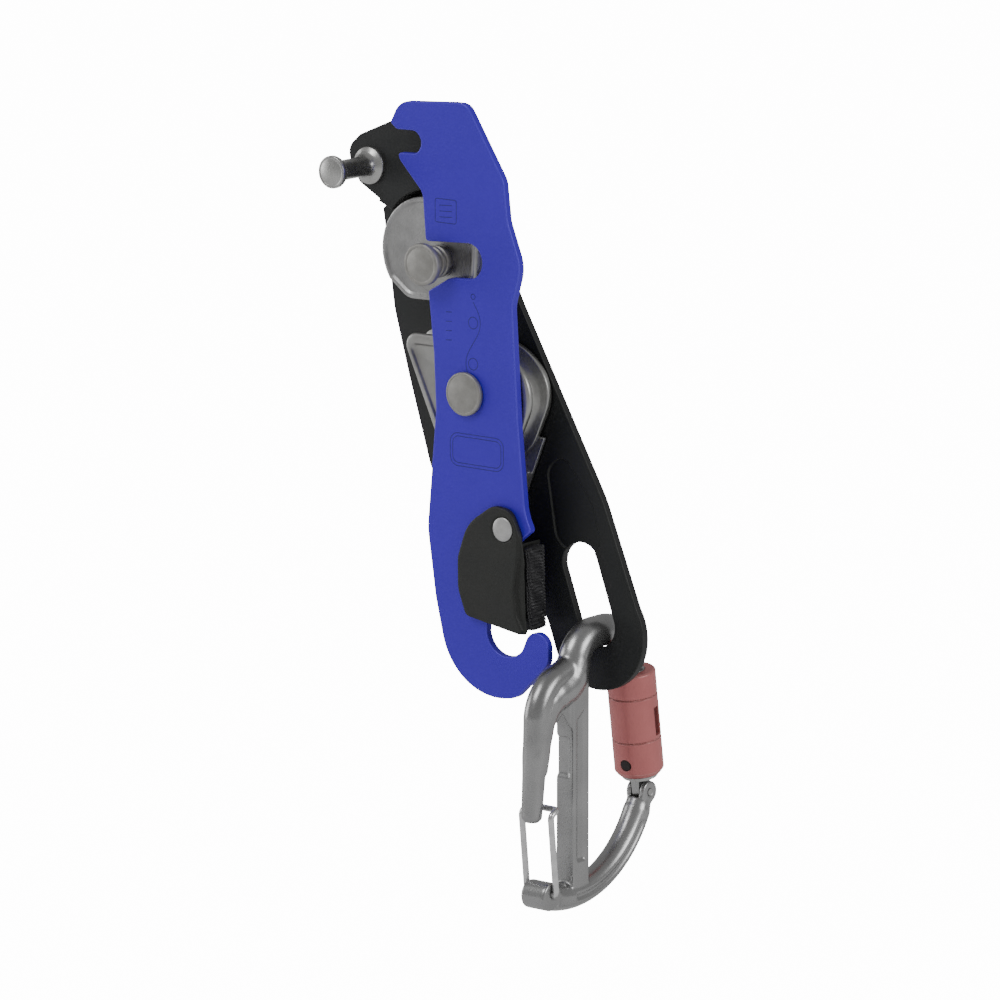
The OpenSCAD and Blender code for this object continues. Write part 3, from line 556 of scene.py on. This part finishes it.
@dataclass
class Piece:
    """Base of every sub-assembly: the body that its pieces ride on."""

    body: str

    def dress(self, piece: bpy.types.Object, finish: Finish, slot: str, *nodes: str) -> None:
        """Gives a piece its finish, ties it to its body and hides the solids that it stands for.

        Args:
            piece: the piece.
            finish: its finish.
            slot: the record's material slot; not used.
            nodes: the solids that it replaces.
        """
        piece.data.materials.clear()
        piece.data.materials.append(SHELF.get(finish))
        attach(piece, self.body)
        if nodes:
            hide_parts(*nodes)
        LOG.info("%s: %d vertices, %s", piece.name, len(piece.data.vertices), finish.name)

    def edged(self, node: str, width: float, finish: Finish, slot: str, segments: int = 2,
              edge: Optional[Finish] = None) -> bpy.types.Object:
        """Makes an edge-broken copy of a solid: its flat faces joined and its sharp edges bevelled.

        Args:
            node: the solid.
            width: width of the broken edge.
            finish: its finish.
            slot: the record's material slot; not used.
            segments: steps across the broken edge.
            edge: a lighter finish painted on the broken edges as a painted highlight, if the piece has one.

        Returns:
            The copy.
        """
        mesh = merged_copy(node)
        work = bmesh.new()
        work.from_mesh(mesh)
        bmesh.ops.dissolve_limit(work, angle_limit=math.radians(1.0), verts=work.verts, edges=work.edges)
        work.to_mesh(mesh)
        work.free()
        mesh.polygons.foreach_set("use_smooth", np.ones(len(mesh.polygons), dtype=bool))
        piece = bpy.data.objects.new(node + "_edged", mesh)
        bpy.context.scene.collection.objects.link(piece)
        self.dress(piece, finish, slot, node)
        bevel = piece.modifiers.new("broken_edges", "BEVEL")
        bevel.width = width
        bevel.segments = segments
        bevel.limit_method = "ANGLE"
        bevel.angle_limit = math.radians(34)
        bevel.use_clamp_overlap = False
        # Painted highlight: the bevel's edge strips take the second, lighter material.
        if edge:
            piece.data.materials.append(SHELF.get(edge))
            bevel.material = 1
        weigh = piece.modifiers.new("flat_faces", "WEIGHTED_NORMAL")
        weigh.weight = 100
        weigh.thresh = 0.01
        return piece

    def moulded(self, node: str, voxel: float, passes: int, finish: Finish, slot: str,
                extra: Optional[tuple[np.ndarray, np.ndarray]] = None) -> bpy.types.Object:
        """Makes a soft-edged copy of a solid: it is meshed on a fine grid, then each point moves half
        way to its neighbours' middle, pass by pass, so that edges and creases become blends.

        Args:
            node: the solid.
            voxel: size of the grid.
            passes: how many times the skin is relaxed.
            finish: its finish.
            slot: the record's material slot; not used.
            extra: points and faces that are forged into the skin.

        Returns:
            The copy.
        """
        mesh = merged_copy(node)
        if extra:
            added = bpy.data.meshes.new(node + "_extra")
            added.from_pydata(extra[0].tolist(), [], extra[1].tolist())
            work = bmesh.new()
            work.from_mesh(added)
            bmesh.ops.remove_doubles(work, verts=work.verts, dist=2e-6)
            bmesh.ops.recalc_face_normals(work, faces=work.faces)
            work.from_mesh(mesh)
            work.to_mesh(mesh)
            work.free()
        piece = bpy.data.objects.new(node + "_moulded", mesh)
        bpy.context.scene.collection.objects.link(piece)
        skin = piece.modifiers.new("skin", "REMESH")
        skin.mode = "VOXEL"
        skin.voxel_size = voxel
        relax = piece.modifiers.new("relax", "SMOOTH")
        relax.factor = 0.5
        relax.iterations = passes
        done = bpy.data.meshes.new_from_object(piece.evaluated_get(bpy.context.evaluated_depsgraph_get()))
        piece.modifiers.clear()
        piece.data = done
        done.polygons.foreach_set("use_smooth", np.ones(len(done.polygons), dtype=bool))
        self.dress(piece, finish, slot, node)
        return piece

    def coat(self, node: str, finish: Finish) -> None:
        """Gives a solid that stays as it is its finish.

        Args:
            node: the solid.
            finish: its finish.
        """
        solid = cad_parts[node]
        solid.data.materials.clear()
        solid.data.materials.append(SHELF.get(finish))
        LOG.info("%s: kept, %s", node, finish.name)


# ---------------------------------------------------------------- sub-assemblies


@dataclass
class FlangedBody(Piece):
    """A flanged steel body that the rope bears on: the upper bobbin or the cam.

    Attributes:
        node: the solid that it stands for.
        axis: x and z of the bore, in metres.
        corners: the front flange's outline about the bore, as x, z and radius in millimetres.
        bore: radius of the bore, in millimetres.
        hub: radius of a raised ring round the bore, or 0 for none, in millimetres.
        flange: thickness of each flange, in millimetres.
        groove: how far the running surface lies inside the outline, in millimetres.
        rim: width of the raised rim, in millimetres.
        dish: depth of the dished face, in millimetres.
    """

    node: str
    axis: tuple[float, float]
    corners: tuple[tuple[float, float, float], ...]
    bore: float
    hub: float
    flange: float = 2.6
    groove: float = 6.0
    rim: float = 3.2
    dish: float = 0.9

    def build(self, finish: Finish) -> None:
        """Builds the body as one surface. Each station of the section is a distance inside the
        outline and a depth along Y, and each ring is the outline drawn in by that distance: a bead
        round the rim, a dished face, and a running surface that is a half sine between the flanges.

        Args:
            finish: its finish.
        """
        low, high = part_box(self.node)
        front, back = low[1] / MM, high[1] / MM - 0.05
        turn = np.linspace(0, 2 * np.pi, 288, endpoint=False)
        t = np.linspace(0, 1, 9)
        slope = [(self.rim + 1.4 * (1 - k), front + self.dish * 0.5 * (1 + math.cos(math.pi * k))) for k in t]
        bead = slope + [(self.rim * (1 - k), front + 0.9 * (1 - math.sqrt(1 - k ** 4))) for k in t[1:]]
        inner, outer = front + self.flange, back - self.flange
        depth = np.linspace(0, 1, 17)
        run = [(0.5 + self.groove * math.sin(math.pi * k) ** 0.55, inner + (outer - inner) * k) for k in depth]
        section = bead + [(0.0, inner - 0.5), (0.2, inner - 0.1)]
        section += run + [(0.2, outer + 0.1), (0.0, outer + 0.5), (0.0, back - 0.4), (0.4, back)]
        rings = [self._ring(inset, turn) for inset, _ in section]
        heights = [y for _, y in section]
        floor = front + self.dish
        hubs = [(self.bore, floor), (self.bore + 0.6, floor), (self.bore + 1.2, floor)]
        if self.hub:
            hubs = [(self.bore, front + 0.1), (self.bore + 0.3, front), (self.hub - 0.4, front),
                    (self.hub, front + 0.3), (self.hub + 0.3, floor)]
        radius = np.array([np.full(len(turn), r) for r, _ in hubs] + rings + [np.full(len(turn), self.bore)])
        y = np.array([h for _, h in hubs] + heights + [back])
        radius = np.concatenate([radius, radius[:1]])
        y = np.concatenate([y, y[:1]])
        points = np.stack([radius * np.cos(turn) + self.axis[0] / MM, np.broadcast_to(y[:, None], radius.shape),
                           radius * np.sin(turn) + self.axis[1] / MM], -1)
        faces = grid_faces(len(y), len(turn), True)
        piece = new_piece(self.node + "_turned", points.reshape(-1, 3) * MM, faces, 50)
        self.dress(piece, finish, "cam_steel", self.node)

    def _ring(self, inset: float, turn: np.ndarray) -> np.ndarray:
        """Draws the outline in and measures it round the bore.

        Args:
            inset: how far it is drawn in, in millimetres.
            turn: the directions.

        Returns:
            The distance from the bore's axis in each direction, in millimetres.
        """
        corners = np.array(self.corners)
        middle = (corners[:, :2].max(0) + corners[:, :2].min(0)) / 2
        half = (corners[:, :2].max(0) - corners[:, :2].min(0)) / 2
        drawn = corners.copy()
        drawn[:, :2] = middle + (corners[:, :2] - middle) * (half - inset) / half
        drawn[:, 2] = np.maximum(corners[:, 2] - inset * 0.8, corners[:, 2] * 0.45)
        return reach_round(rounded(drawn), turn)


@dataclass
class Turned(Piece):
    """A turned steel part about an axis along Y.

    Attributes:
        name: name of the piece.
        axis: x and z of its axis, in metres.
        finish: its finish.
    """

    name: str
    axis: tuple[float, float]
    finish: Finish

    def build(self, profile: list[tuple[float, float]], *nodes: str) -> None:
        """Turns a profile.

        Args:
            profile: radius and y of each station, in millimetres.
            nodes: the solids that it stands for.
        """
        points, faces = lathe(np.array(profile))
        points = points * MM + np.array([self.axis[0], 0.0, self.axis[1]])
        piece = new_piece(self.name, points, faces, 38)
        self.dress(piece, self.finish, "pin_steel", *nodes)


AXLE = (0.015119, -0.047660)


@dataclass
class FixedPlate(Piece):
    """The black plate with its bobbin, studs and axle."""

    edge: float = 0.4 * MM

    def build(self) -> None:
        """Builds and dresses the fixed side."""
        self.edged("fixed_side_plate", self.edge, BLACK_ANODISED, "black_plate", 3, BLACK_EDGE_HIGHLIGHT)
        arc = [(-7.6 + 20.7 * math.cos(math.radians(a)), 2.4 + 20.7 * math.sin(math.radians(a)), 3.0)
               for a in range(88, 223, 9)]
        FlangedBody("fixed_plate", "upper_bobbin", (0.0, 0.0),
                    tuple(arc) + ((-16.0, -15.8, 8.0), (15.0, -15.2, 12.0), (16.8, 21.6, 16.0)), 5.0, 0.0,
                    rim=1.3, dish=0.8).build(BOBBIN_STEEL)
        self._upper_stud()
        self._aux_stud()
        self._axle()
        self.edged("upper_stud_nut", 0.3 * MM, PIN_STEEL, "pin_steel")
        for node in ("aux_stud_washer", "axle_washer", "bobbin_dowel", "cam_stop_pin"):
            self.coat(node, PIN_STEEL)
        self.coat("thrust_washers", WASHER_PLASTIC)
        self._cam_spring()

    def _upper_stud(self) -> None:
        """Turns the stud that the side plate closes on: a flat head with a fine ring, and ringed collar."""
        low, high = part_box("upper_stud")
        y0, y1 = low[1] / MM, high[1] / MM
        r = 7.9
        profile = [(0.0, y0 + 0.05), (r * 0.78, y0 + 0.05), (r * 0.80, y0 + 0.14), (r * 0.82, y0 + 0.05),
                   (r - 0.7, y0), (r - 0.25, y0 + 0.15), (r, y0 + 0.5), (r, y0 + 2.3), (r - 0.15, y0 + 2.65),
                   (r - 0.5, y0 + 2.8), (5.5, y0 + 2.9), (5.1, y0 + 3.2)]
        for i in range(3):
            top = y0 + 3.8 + 2.6 * i
            profile += [(5.3, top - 0.25), (5.75, top - 0.1), (6.1, top + 0.2), (6.1, top + 1.4),
                        (5.75, top + 1.7), (5.3, top + 1.85)]
        profile += [(5.0, y0 + 11.4), (5.0, y1 - 0.5), (4.5, y1), (1.6, y1), (1.4, y1 - 1.6), (0.0, y1 - 1.9)]
        Turned("fixed_plate", "upper_stud_turned", (0.0, 0.0), HEAD_STEEL).build(profile, "upper_stud")

    def _aux_stud(self) -> None:
        """Turns the braking stud: a mushroom head, a waisted neck and a flared foot."""
        low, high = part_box("aux_stud")
        y0, y1 = low[1] / MM, high[1] / MM
        head = [(0.0, y0 + 0.03), (4.9, y0 + 0.03), (5.05, y0 + 0.1), (5.2, y0), (5.75, y0), (6.05, y0 + 0.18),
                (6.15, y0 + 0.5)]
        neck = [(6.15, y0 + 1.8), (5.9, y0 + 2.4), (4.9, y0 + 3.5), (4.1, y0 + 4.3), (3.8, y0 + 5.2)]
        foot = [(3.8, y0 + 17.2), (4.0, y0 + 18.6), (4.7, y0 + 20.0), (5.6, y0 + 21.0), (6.7, y0 + 21.3),
                (7.0, y0 + 21.55), (7.1, y0 + 21.9), (7.1, y0 + 22.7), (3.8, y0 + 22.7)]
        end = [(3.8, y1 - 2.8), (5.35, y1 - 1.4), (5.0, y1 - 0.8), (4.2, y1), (0.0, y1)]
        middle = ((low[0] + high[0]) / 2, (low[2] + high[2]) / 2)
        Turned("fixed_plate", "aux_stud_turned", middle, PIN_STEEL).build(head + neck + foot + end, "aux_stud")

    def _axle(self) -> None:
        """Turns the cam axle: a flat head with a bright chamfer, the shank and the riveted foot."""
        low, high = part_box("cam_axle")
        y0, y1 = low[1] / MM, high[1] / MM
        r = 8.2
        profile = [(0.0, y0 + 0.04), (r * 0.84, y0 + 0.04), (r * 0.86, y0 + 0.1), (r * 0.88, y0 + 0.02),
                   (r - 0.6, y0), (r - 0.2, y0 + 0.16), (r, y0 + 0.45), (r, y0 + 1.5), (r - 0.2, y0 + 1.7), (5.0, y0 + 1.7),
                   (5.0, y1 - 2.2), (6.8, y1 - 2.2), (6.8, y1 - 0.6), (6.2, y1), (0.0, y1)]
        Turned("fixed_plate", "cam_axle_turned", AXLE, HEAD_STEEL).build(profile, "cam_axle")

    def _cam_spring(self) -> None:
        """Winds the cam's return spring in one and a half turns."""
        low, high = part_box("cam_spring")
        y = (low[1] + high[1]) / 2
        start = np.array([AXLE[0], y - 0.4 * MM, AXLE[1]])
        path = coil(start, np.array([0.0, 1.0, 0.0]), 9.7 * MM, 1.5, 0.9 * MM, 120)
        points, faces = tube(path, np.full(len(path), 0.42 * MM), 12)
        piece = new_piece("cam_return_spring", points, faces)
        self.dress(piece, PIN_STEEL, "pin_steel", "cam_spring")


@dataclass
class MovingPlate(Piece):
    """The blue plate that swings on the cam axle."""

    edge: float = 0.45 * MM

    def build(self) -> None:
        """Builds and dresses the hinged side."""
        self.edged("moving_side_plate", self.edge, BLUE_ANODISED, "blue_plate", 3, BLUE_EDGE_HIGHLIGHT)
        self._rivet()
        self._markings()
        self.coat("plate_bush", BEARING_BRONZE)
        self.coat("gate_washer", PIN_STEEL)
        self._gate_spring()

    def _rivet(self) -> None:
        """Turns the gate's rivet with a low domed head."""
        low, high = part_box("gate_rivet")
        y0, y1 = low[1] / MM, high[1] / MM
        dome = [(4.5 * math.sin(a), y0 + 0.55 * (1 - math.cos(a))) for a in np.linspace(0, math.pi / 2, 9)]
        profile = dome + [(4.5, y0 + 1.2), (2.5, y0 + 1.25), (2.5, y1), (0.0, y1)]
        middle = ((low[0] + high[0]) / 2, (low[2] + high[2]) / 2)
        Turned("moving_plate", "gate_rivet_turned", middle, RIVET_STEEL).build(profile, "gate_rivet")

    def _gate_spring(self) -> None:
        """Winds the safety gate's torsion spring."""
        low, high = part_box("gate_spring")
        middle = (np.array(low) + np.array(high)) / 2
        start = middle - np.array([0.0, 0.2 * MM, 0.0])
        path = coil(start, np.array([0.0, 1.0, 0.0]), 3.9 * MM, 1.3, 0.4 * MM, 70)
        points, faces = tube(path, np.full(len(path), 0.3 * MM), 10)
        self.dress(new_piece("gate_torsion_spring", points, faces), PIN_STEEL, "pin_steel", "gate_spring")

    def _markings(self) -> None:
        """Lays the plain engraved marks: a frame, a small panel and the line of a rope round two wheels."""
        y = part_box("moving_side_plate")[0][1] / MM
        turn = np.linspace(0, 2 * np.pi, 40)
        ring = np.stack([np.cos(turn), np.sin(turn)], -1)
        frames = [self._frame(20.2, -69.0, 12.6, 6.2, 3.6), self._frame(20.2, -69.0, 11.4, 5.0, 2.6),
                  self._frame(5.6, 19.6, 5.0, 4.4, 0.8)]
        ticks = [np.array([[2.6, z], [8.6, z + 0.3]]) for z in (21.6, 19.4, 17.2)]
        dashes = [np.array([[5.6, z], [8.4, z + 0.2]]) for z in (-18.0, -21.5, -25.0, -28.5)]
        sweep = np.linspace(0, 1, 40)
        rope = np.stack([18.5 + 3.4 * np.sin(2 * np.pi * sweep), -13.0 - 31.0 * sweep], -1)
        wheels = [ring * 2.2 + [18.5, -20.8], ring * 2.2 + [18.5, -36.2], ring * 1.0 + [18.5, -11.0]]
        paths = frames + ticks + dashes + [rope] + wheels
        points, faces = joined([band(self._dense(path), 0.34, y, 0.02) for path in paths])
        self.dress(new_piece("plate_markings", points * MM, faces), MARKING, "blue_plate")

    def _frame(self, x: float, z: float, wide: float, tall: float, radius: float) -> np.ndarray:
        """Draws a closed frame with rounded corners.

        Args:
            x: its middle across.
            z: its middle up.
            wide: half its width.
            tall: half its height.
            radius: its corners' radius.

        Returns:
            One row of x and z per point.
        """
        sides = np.array([[-wide, tall, radius], [wide, tall, radius],
                          [wide, -tall, radius], [-wide, -tall, radius]])
        outline = rounded(sides, 7)
        return np.concatenate([outline, outline[:1]]) + [x, z]

    def _dense(self, path: np.ndarray) -> np.ndarray:
        """Adds points to a path so that no step is long.

        Args:
            path: one row of x and z per point.

        Returns:
            The path with more points.
        """
        length = np.concatenate([[0.0], np.cumsum(np.linalg.norm(np.diff(path, axis=0), axis=1))])
        at = np.linspace(0, length[-1], max(4, int(length[-1] / 0.5)))
        return np.stack([np.interp(at, length, path[:, 0]), np.interp(at, length, path[:, 1])], -1)


@dataclass
class SafetyGate(Piece):
    """The plastic gate across the hook's mouth."""

    def build(self) -> None:
        """Builds and dresses the gate."""
        self.moulded("safety_gate", 0.36 * MM, 7, BLACK_PLASTIC, "black_plastic")
        self._thumb_strip()

    def _thumb_strip(self) -> None:
        """Builds the knurled strip: a rounded bar whose skin is raised by the product of two crossed
        sines, with a slow third sine that keeps the knurl from looking regular."""
        low, high = (np.array(c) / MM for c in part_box("thumb_strip"))
        t = np.linspace(0, 1, 180)[:, None]
        a = np.linspace(0, 2 * np.pi, 72, endpoint=False)[None, :]
        half = (high - low) / 2 - 0.25
        middle = (high + low) / 2
        power = 0.35
        cx = np.sign(np.cos(a)) * np.abs(np.cos(a)) ** power * (half[0] - 0.5)
        cy = np.sign(np.sin(a)) * np.abs(np.sin(a)) ** power * half[1]
        knurl = np.sin(2 * np.pi * 13 * t + 3.2 * a) * np.sin(2 * np.pi * 11 * t - 5 * a + 1.3 * np.sin(17 * t))
        knurl = np.clip(knurl + 0.35 * np.sin(2 * np.pi * 29 * t + 9 * a) + 0.2, -0.5, 0.9)
        ends = np.minimum(1, (np.minimum(t, 1 - t) / 0.03) ** 0.5)
        x = middle[0] + 0.3 - 1.0 * t + (cx + 0.62 * knurl * np.cos(a)) * ends
        y = middle[1] + (cy + 0.35 * knurl * np.sin(a)) * ends
        z = low[2] + 0.2 + (high[2] - low[2] - 0.4) * t + 0 * a
        points = np.stack([x, y, z], -1).reshape(-1, 3)
        self.dress(new_piece("thumb_strip_knurl", points * MM, grid_faces(180, 72, True)), THUMB_PLASTIC,
                   "black_plastic", "thumb_strip")


@dataclass
class CamAndHandle(Piece):
    """The cam and the lever that turn together."""

    def build(self) -> None:
        """Builds and dresses the cam and its handle."""
        FlangedBody("cam_and_handle", "lower_cam", AXLE,
                    ((-34.5, 19.0, 4.5), (14.0, 19.5, 26.0), (29.6, 3.0, 16.0), (17.0, -26.0, 18.0),
                     (-14.0, -26.5, 18.0)),
                    6.55, 9.6, rim=3.4, dish=1.1, groove=5.5).build(CAM_STEEL)
        self.moulded("handle_arm", 0.36 * MM, 2, HANDLE_STEEL, "cam_steel")
        self.edged("handle_grip", 0.3 * MM, BLACK_PLASTIC, "black_plastic")
        self.coat("cam_bush", BEARING_BRONZE)
        self.coat("handle_rivets", PIN_STEEL)


@dataclass
class CarabinerBody(Piece):
    """The forged body of the braking carabiner.

    Attributes:
        voxel: grid size of the forged skin, in metres.
        passes: how many times its creases are relaxed.
        crown: x, y and z of the crown's middle, in millimetres.
    """

    voxel: float = 0.5 * MM
    passes: int = 11
    crown: tuple[float, float, float] = (62.435, 9.2, -134.1)

    def build(self) -> None:
        """Builds the body as one forged skin with blended creases."""
        self.moulded("carabiner_body", self.voxel, self.passes, CARABINER_ALLOY, "carabiner_alloy",
                     self._root())
        self.coat("gate_pin", PIN_STEEL)

    def _root(self) -> tuple[np.ndarray, np.ndarray]:
        """Sweeps the thick root of the spur: a circle carried along a bend that swells out of the
        crown and thins to the spur's own radius. Each row is y and z from the crown and the radius there,
        and the radius between rows is their mean, weighed by one over the distance cubed.

        Returns:
            Points and faces.
        """
        bend = np.array([[-15.0, -8.0, 6.2], [-17.4, -14.2, 6.7], [-21.5, -17.4, 6.8], [-26.4, -18.8, 6.6],
                         [-30.6, -20.8, 6.2], [-33.9, -24.4, 5.8], [-36.0, -30.0, 5.5], [-37.6, -38.0, 5.2],
                         [-38.6, -47.0, 4.7]])
        corners = np.column_stack([np.zeros(len(bend)), bend[:, :2]])
        path = smooth_path(corners, 3.0, 6)
        apart = np.linalg.norm(path[:, None, :] - corners[None], axis=2)
        weight = 1 / (apart + 0.5) ** 3
        radius = (weight * bend[:, 2]).sum(1) / weight.sum(1)
        points, faces = tube(path, radius, 40)
        return (points + np.array(self.crown)) * MM, faces


@dataclass
class CarabinerGate(Piece):
    """The carabiner's gate with its collar and spring."""

    def build(self) -> None:
        """Builds and dresses the gate."""
        self.edged("carabiner_gate", 0.25 * MM, CARABINER_ALLOY, "carabiner_alloy")
        self.edged("sleeve_collar", 0.2 * MM, COLLAR_PLASTIC, "pale_plastic")
        self.coat("gate_plunger", PIN_STEEL)
        self._spring()

    def _spring(self) -> None:
        """Winds the sleeve's return spring as one helix between the two ends of its solid."""
        low, high = (np.array(c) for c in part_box("sleeve_spring"))
        axis = np.array([0.0, -0.1439, 0.9896])
        middle = (low + high) / 2
        length = (high[2] - low[2]) / axis[2] - 4.2 * MM
        path = coil(middle - axis * length / 2, axis, 6.35 * MM, 8.5, length, 520)
        points, faces = tube(path, np.full(len(path), 0.55 * MM), 10)
        self.dress(new_piece("sleeve_return_spring", points, faces), PIN_STEEL, "pin_steel", "sleeve_spring")


@dataclass
class LockingSleeve(Piece):
    """The red sleeve that locks the gate, and its button."""

    def build(self) -> None:
        """Builds and dresses the sleeve."""
        self.edged("locking_sleeve", 0.25 * MM, SLEEVE_RED, "sleeve_red", 3, SLEEVE_EDGE_HIGHLIGHT)

    def build_button(self) -> None:
        """Dresses the button, which rides on its own body."""
        self.edged("lock_ball", 0.4 * MM, DARK_BUTTON, "pin_steel", 3)


@dataclass
class WireGate(Piece):
    """The hairpin of wire that closes the braking spur.

    Attributes:
        thick: radius of the wire, in millimetres.
        half: half the spread of its legs, in millimetres.
        crown: x, y and z of the carabiner's crown, in millimetres.
        foot: y and z of its feet from the crown.
        knee: y and z where each leg turns in.
        top: y and z of its cross bar.
    """

    thick: float = 1.22
    half: float = 6.8
    crown: tuple[float, float, float] = (62.435, 9.2, -134.1)
    foot: tuple[float, float] = (-34.42, -92.87)
    knee: tuple[float, float] = (-37.77, -62.28)
    top: tuple[float, float] = (-33.82, -60.68)

    def build(self) -> None:
        """Bends the wire: out of one socket, up the leg, over the tip of the spur and down again."""
        right = [(3.2, *self.foot), (self.half, *self.foot), (self.half, *self.knee), (self.half, *self.top)]
        corners = np.array(right + [(-x, y, z) for x, y, z in reversed(right)]) + np.array(self.crown)
        path = smooth_path(corners, 1.9, 9)
        points, faces = tube(path * MM, np.full(len(path), self.thick * MM), 20)
        self.dress(new_piece("wire_hairpin", points, faces, 60), WIRE_STEEL, "pin_steel", "wire_gate")


# ---------------------------------------------------------------- studio


@dataclass
class Studio:
    """Floor, light and camera.

    Attributes:
        azimuth: degrees round the object, 0 looking along +Y.
        elevation: degrees above the horizon.
        width: width of the view at the object, in metres.
        across: how far the view's middle lies to the right of the origin.
        up: how far the view's middle lies above the origin.
        lens: focal length of the camera, in millimetres.
    """

    azimuth: float = 38.6
    elevation: float = 11.5
    width: float = 0.37037
    across: float = 0.0177
    up: float = -0.0895
    lens: float = 250.0

    def build(self) -> None:
        """Builds the floor, the lights and the camera."""
        self._floor()
        self._world()
        self._light("key", (-0.5, -1.5, 1.7), 1.0, 18.0)
        self._light("right", (1.9, 0.2, 0.7), 0.9, 13.0)
        self._light("left", (-1.8, -0.7, 0.2), 0.9, 7.0)
        self._camera()

    def _floor(self) -> None:
        """Lays a pale floor a little below the object. It glows only where it is seen directly, so that
        it looks as pale as a lit studio floor without lighting the object from below."""
        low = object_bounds()[0].z - 0.03
        reach = 30.0
        points = np.array([[-reach, -reach, low], [reach, -reach, low],
                           [reach, reach, low], [-reach, reach, low]])
        floor = new_piece("floor", points, np.array([[0, 1, 2, 3]]))
        mat = bpy.data.materials.new("pale_floor")
        mat.use_nodes = True
        nodes, links = mat.node_tree.nodes, mat.node_tree.links
        shader = nodes["Principled BSDF"]
        shader.inputs["Base Color"].default_value = (0.9, 0.9, 0.9, 1.0)
        shader.inputs["Roughness"].default_value = 0.9
        shader.inputs["Emission Color"].default_value = (1.0, 1.0, 1.0, 1.0)
        ray = nodes.new("ShaderNodeLightPath")
        glow = nodes.new("ShaderNodeMapRange")
        glow.inputs["To Max"].default_value = 14.0
        links.new(ray.outputs["Is Camera Ray"], glow.inputs["Value"])
        links.new(glow.outputs["Result"], shader.inputs["Emission Strength"])
        floor.data.materials.append(mat)
        floor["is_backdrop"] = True

    def _world(self) -> None:
        """Sets an even, bright surround."""
        world = bpy.data.worlds.new("studio")
        world.use_nodes = True
        back = world.node_tree.nodes["Background"]
        back.inputs["Color"].default_value = (1.0, 1.0, 1.0, 1.0)
        back.inputs["Strength"].default_value = 0.36
        bpy.context.scene.world = world

    def _light(self, name: str, place: Colour, size: float, power: float) -> None:
        """Hangs one square softbox aimed at the object.

        Args:
            name: name of the light.
            place: where it hangs, in metres.
            size: side of the softbox, in metres.
            power: its power, in watts.
        """
        data = bpy.data.lights.new(name, "AREA")
        data.shape = "SQUARE"
        data.size = size
        data.energy = power
        lamp = bpy.data.objects.new(name, data)
        lamp.location = place
        aim = Vector((0.02, 0.0, -0.09)) - Vector(place)
        lamp.rotation_euler = aim.to_track_quat("-Z", "Y").to_euler()
        bpy.context.scene.collection.objects.link(lamp)

    def _camera(self) -> None:
        """Sets the camera: it looks along minus (sin a cos e, -cos a cos e, sin e) from the distance
        at which the sensor takes in the view's width."""
        a, e = math.radians(self.azimuth), math.radians(self.elevation)
        back = Vector((math.sin(a) * math.cos(e), -math.cos(a) * math.cos(e), math.sin(e)))
        right = Vector((math.cos(a), math.sin(a), 0.0))
        up = back.cross(right)
        data = bpy.data.cameras.new("camera")
        data.lens = self.lens
        data.sensor_width = 36.0
        data.clip_start, data.clip_end = 0.05, 100.0
        camera = bpy.data.objects.new("camera", data)
        middle = right * self.across + up * self.up
        camera.location = middle + back * (self.width * self.lens / data.sensor_width)
        camera.rotation_euler = (-back).to_track_quat("-Z", "Y").to_euler()
        bpy.context.scene.collection.objects.link(camera)
        bpy.context.scene.camera = camera


def main() -> None:
    """Builds every sub-assembly in order, then the studio."""
    logging.basicConfig(level=logging.INFO, format="%(message)s")
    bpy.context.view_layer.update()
    FixedPlate("fixed_plate").build()
    MovingPlate("moving_plate").build()
    SafetyGate("plate_gate").build()
    CamAndHandle("cam_and_handle").build()
    CarabinerBody("carabiner").build()
    CarabinerGate("biner_gate").build()
    LockingSleeve("sleeve").build()
    LockingSleeve("ball").build_button()
    WireGate("wire").build()
    Studio().build()


if __name__ == "__main__":
    main()
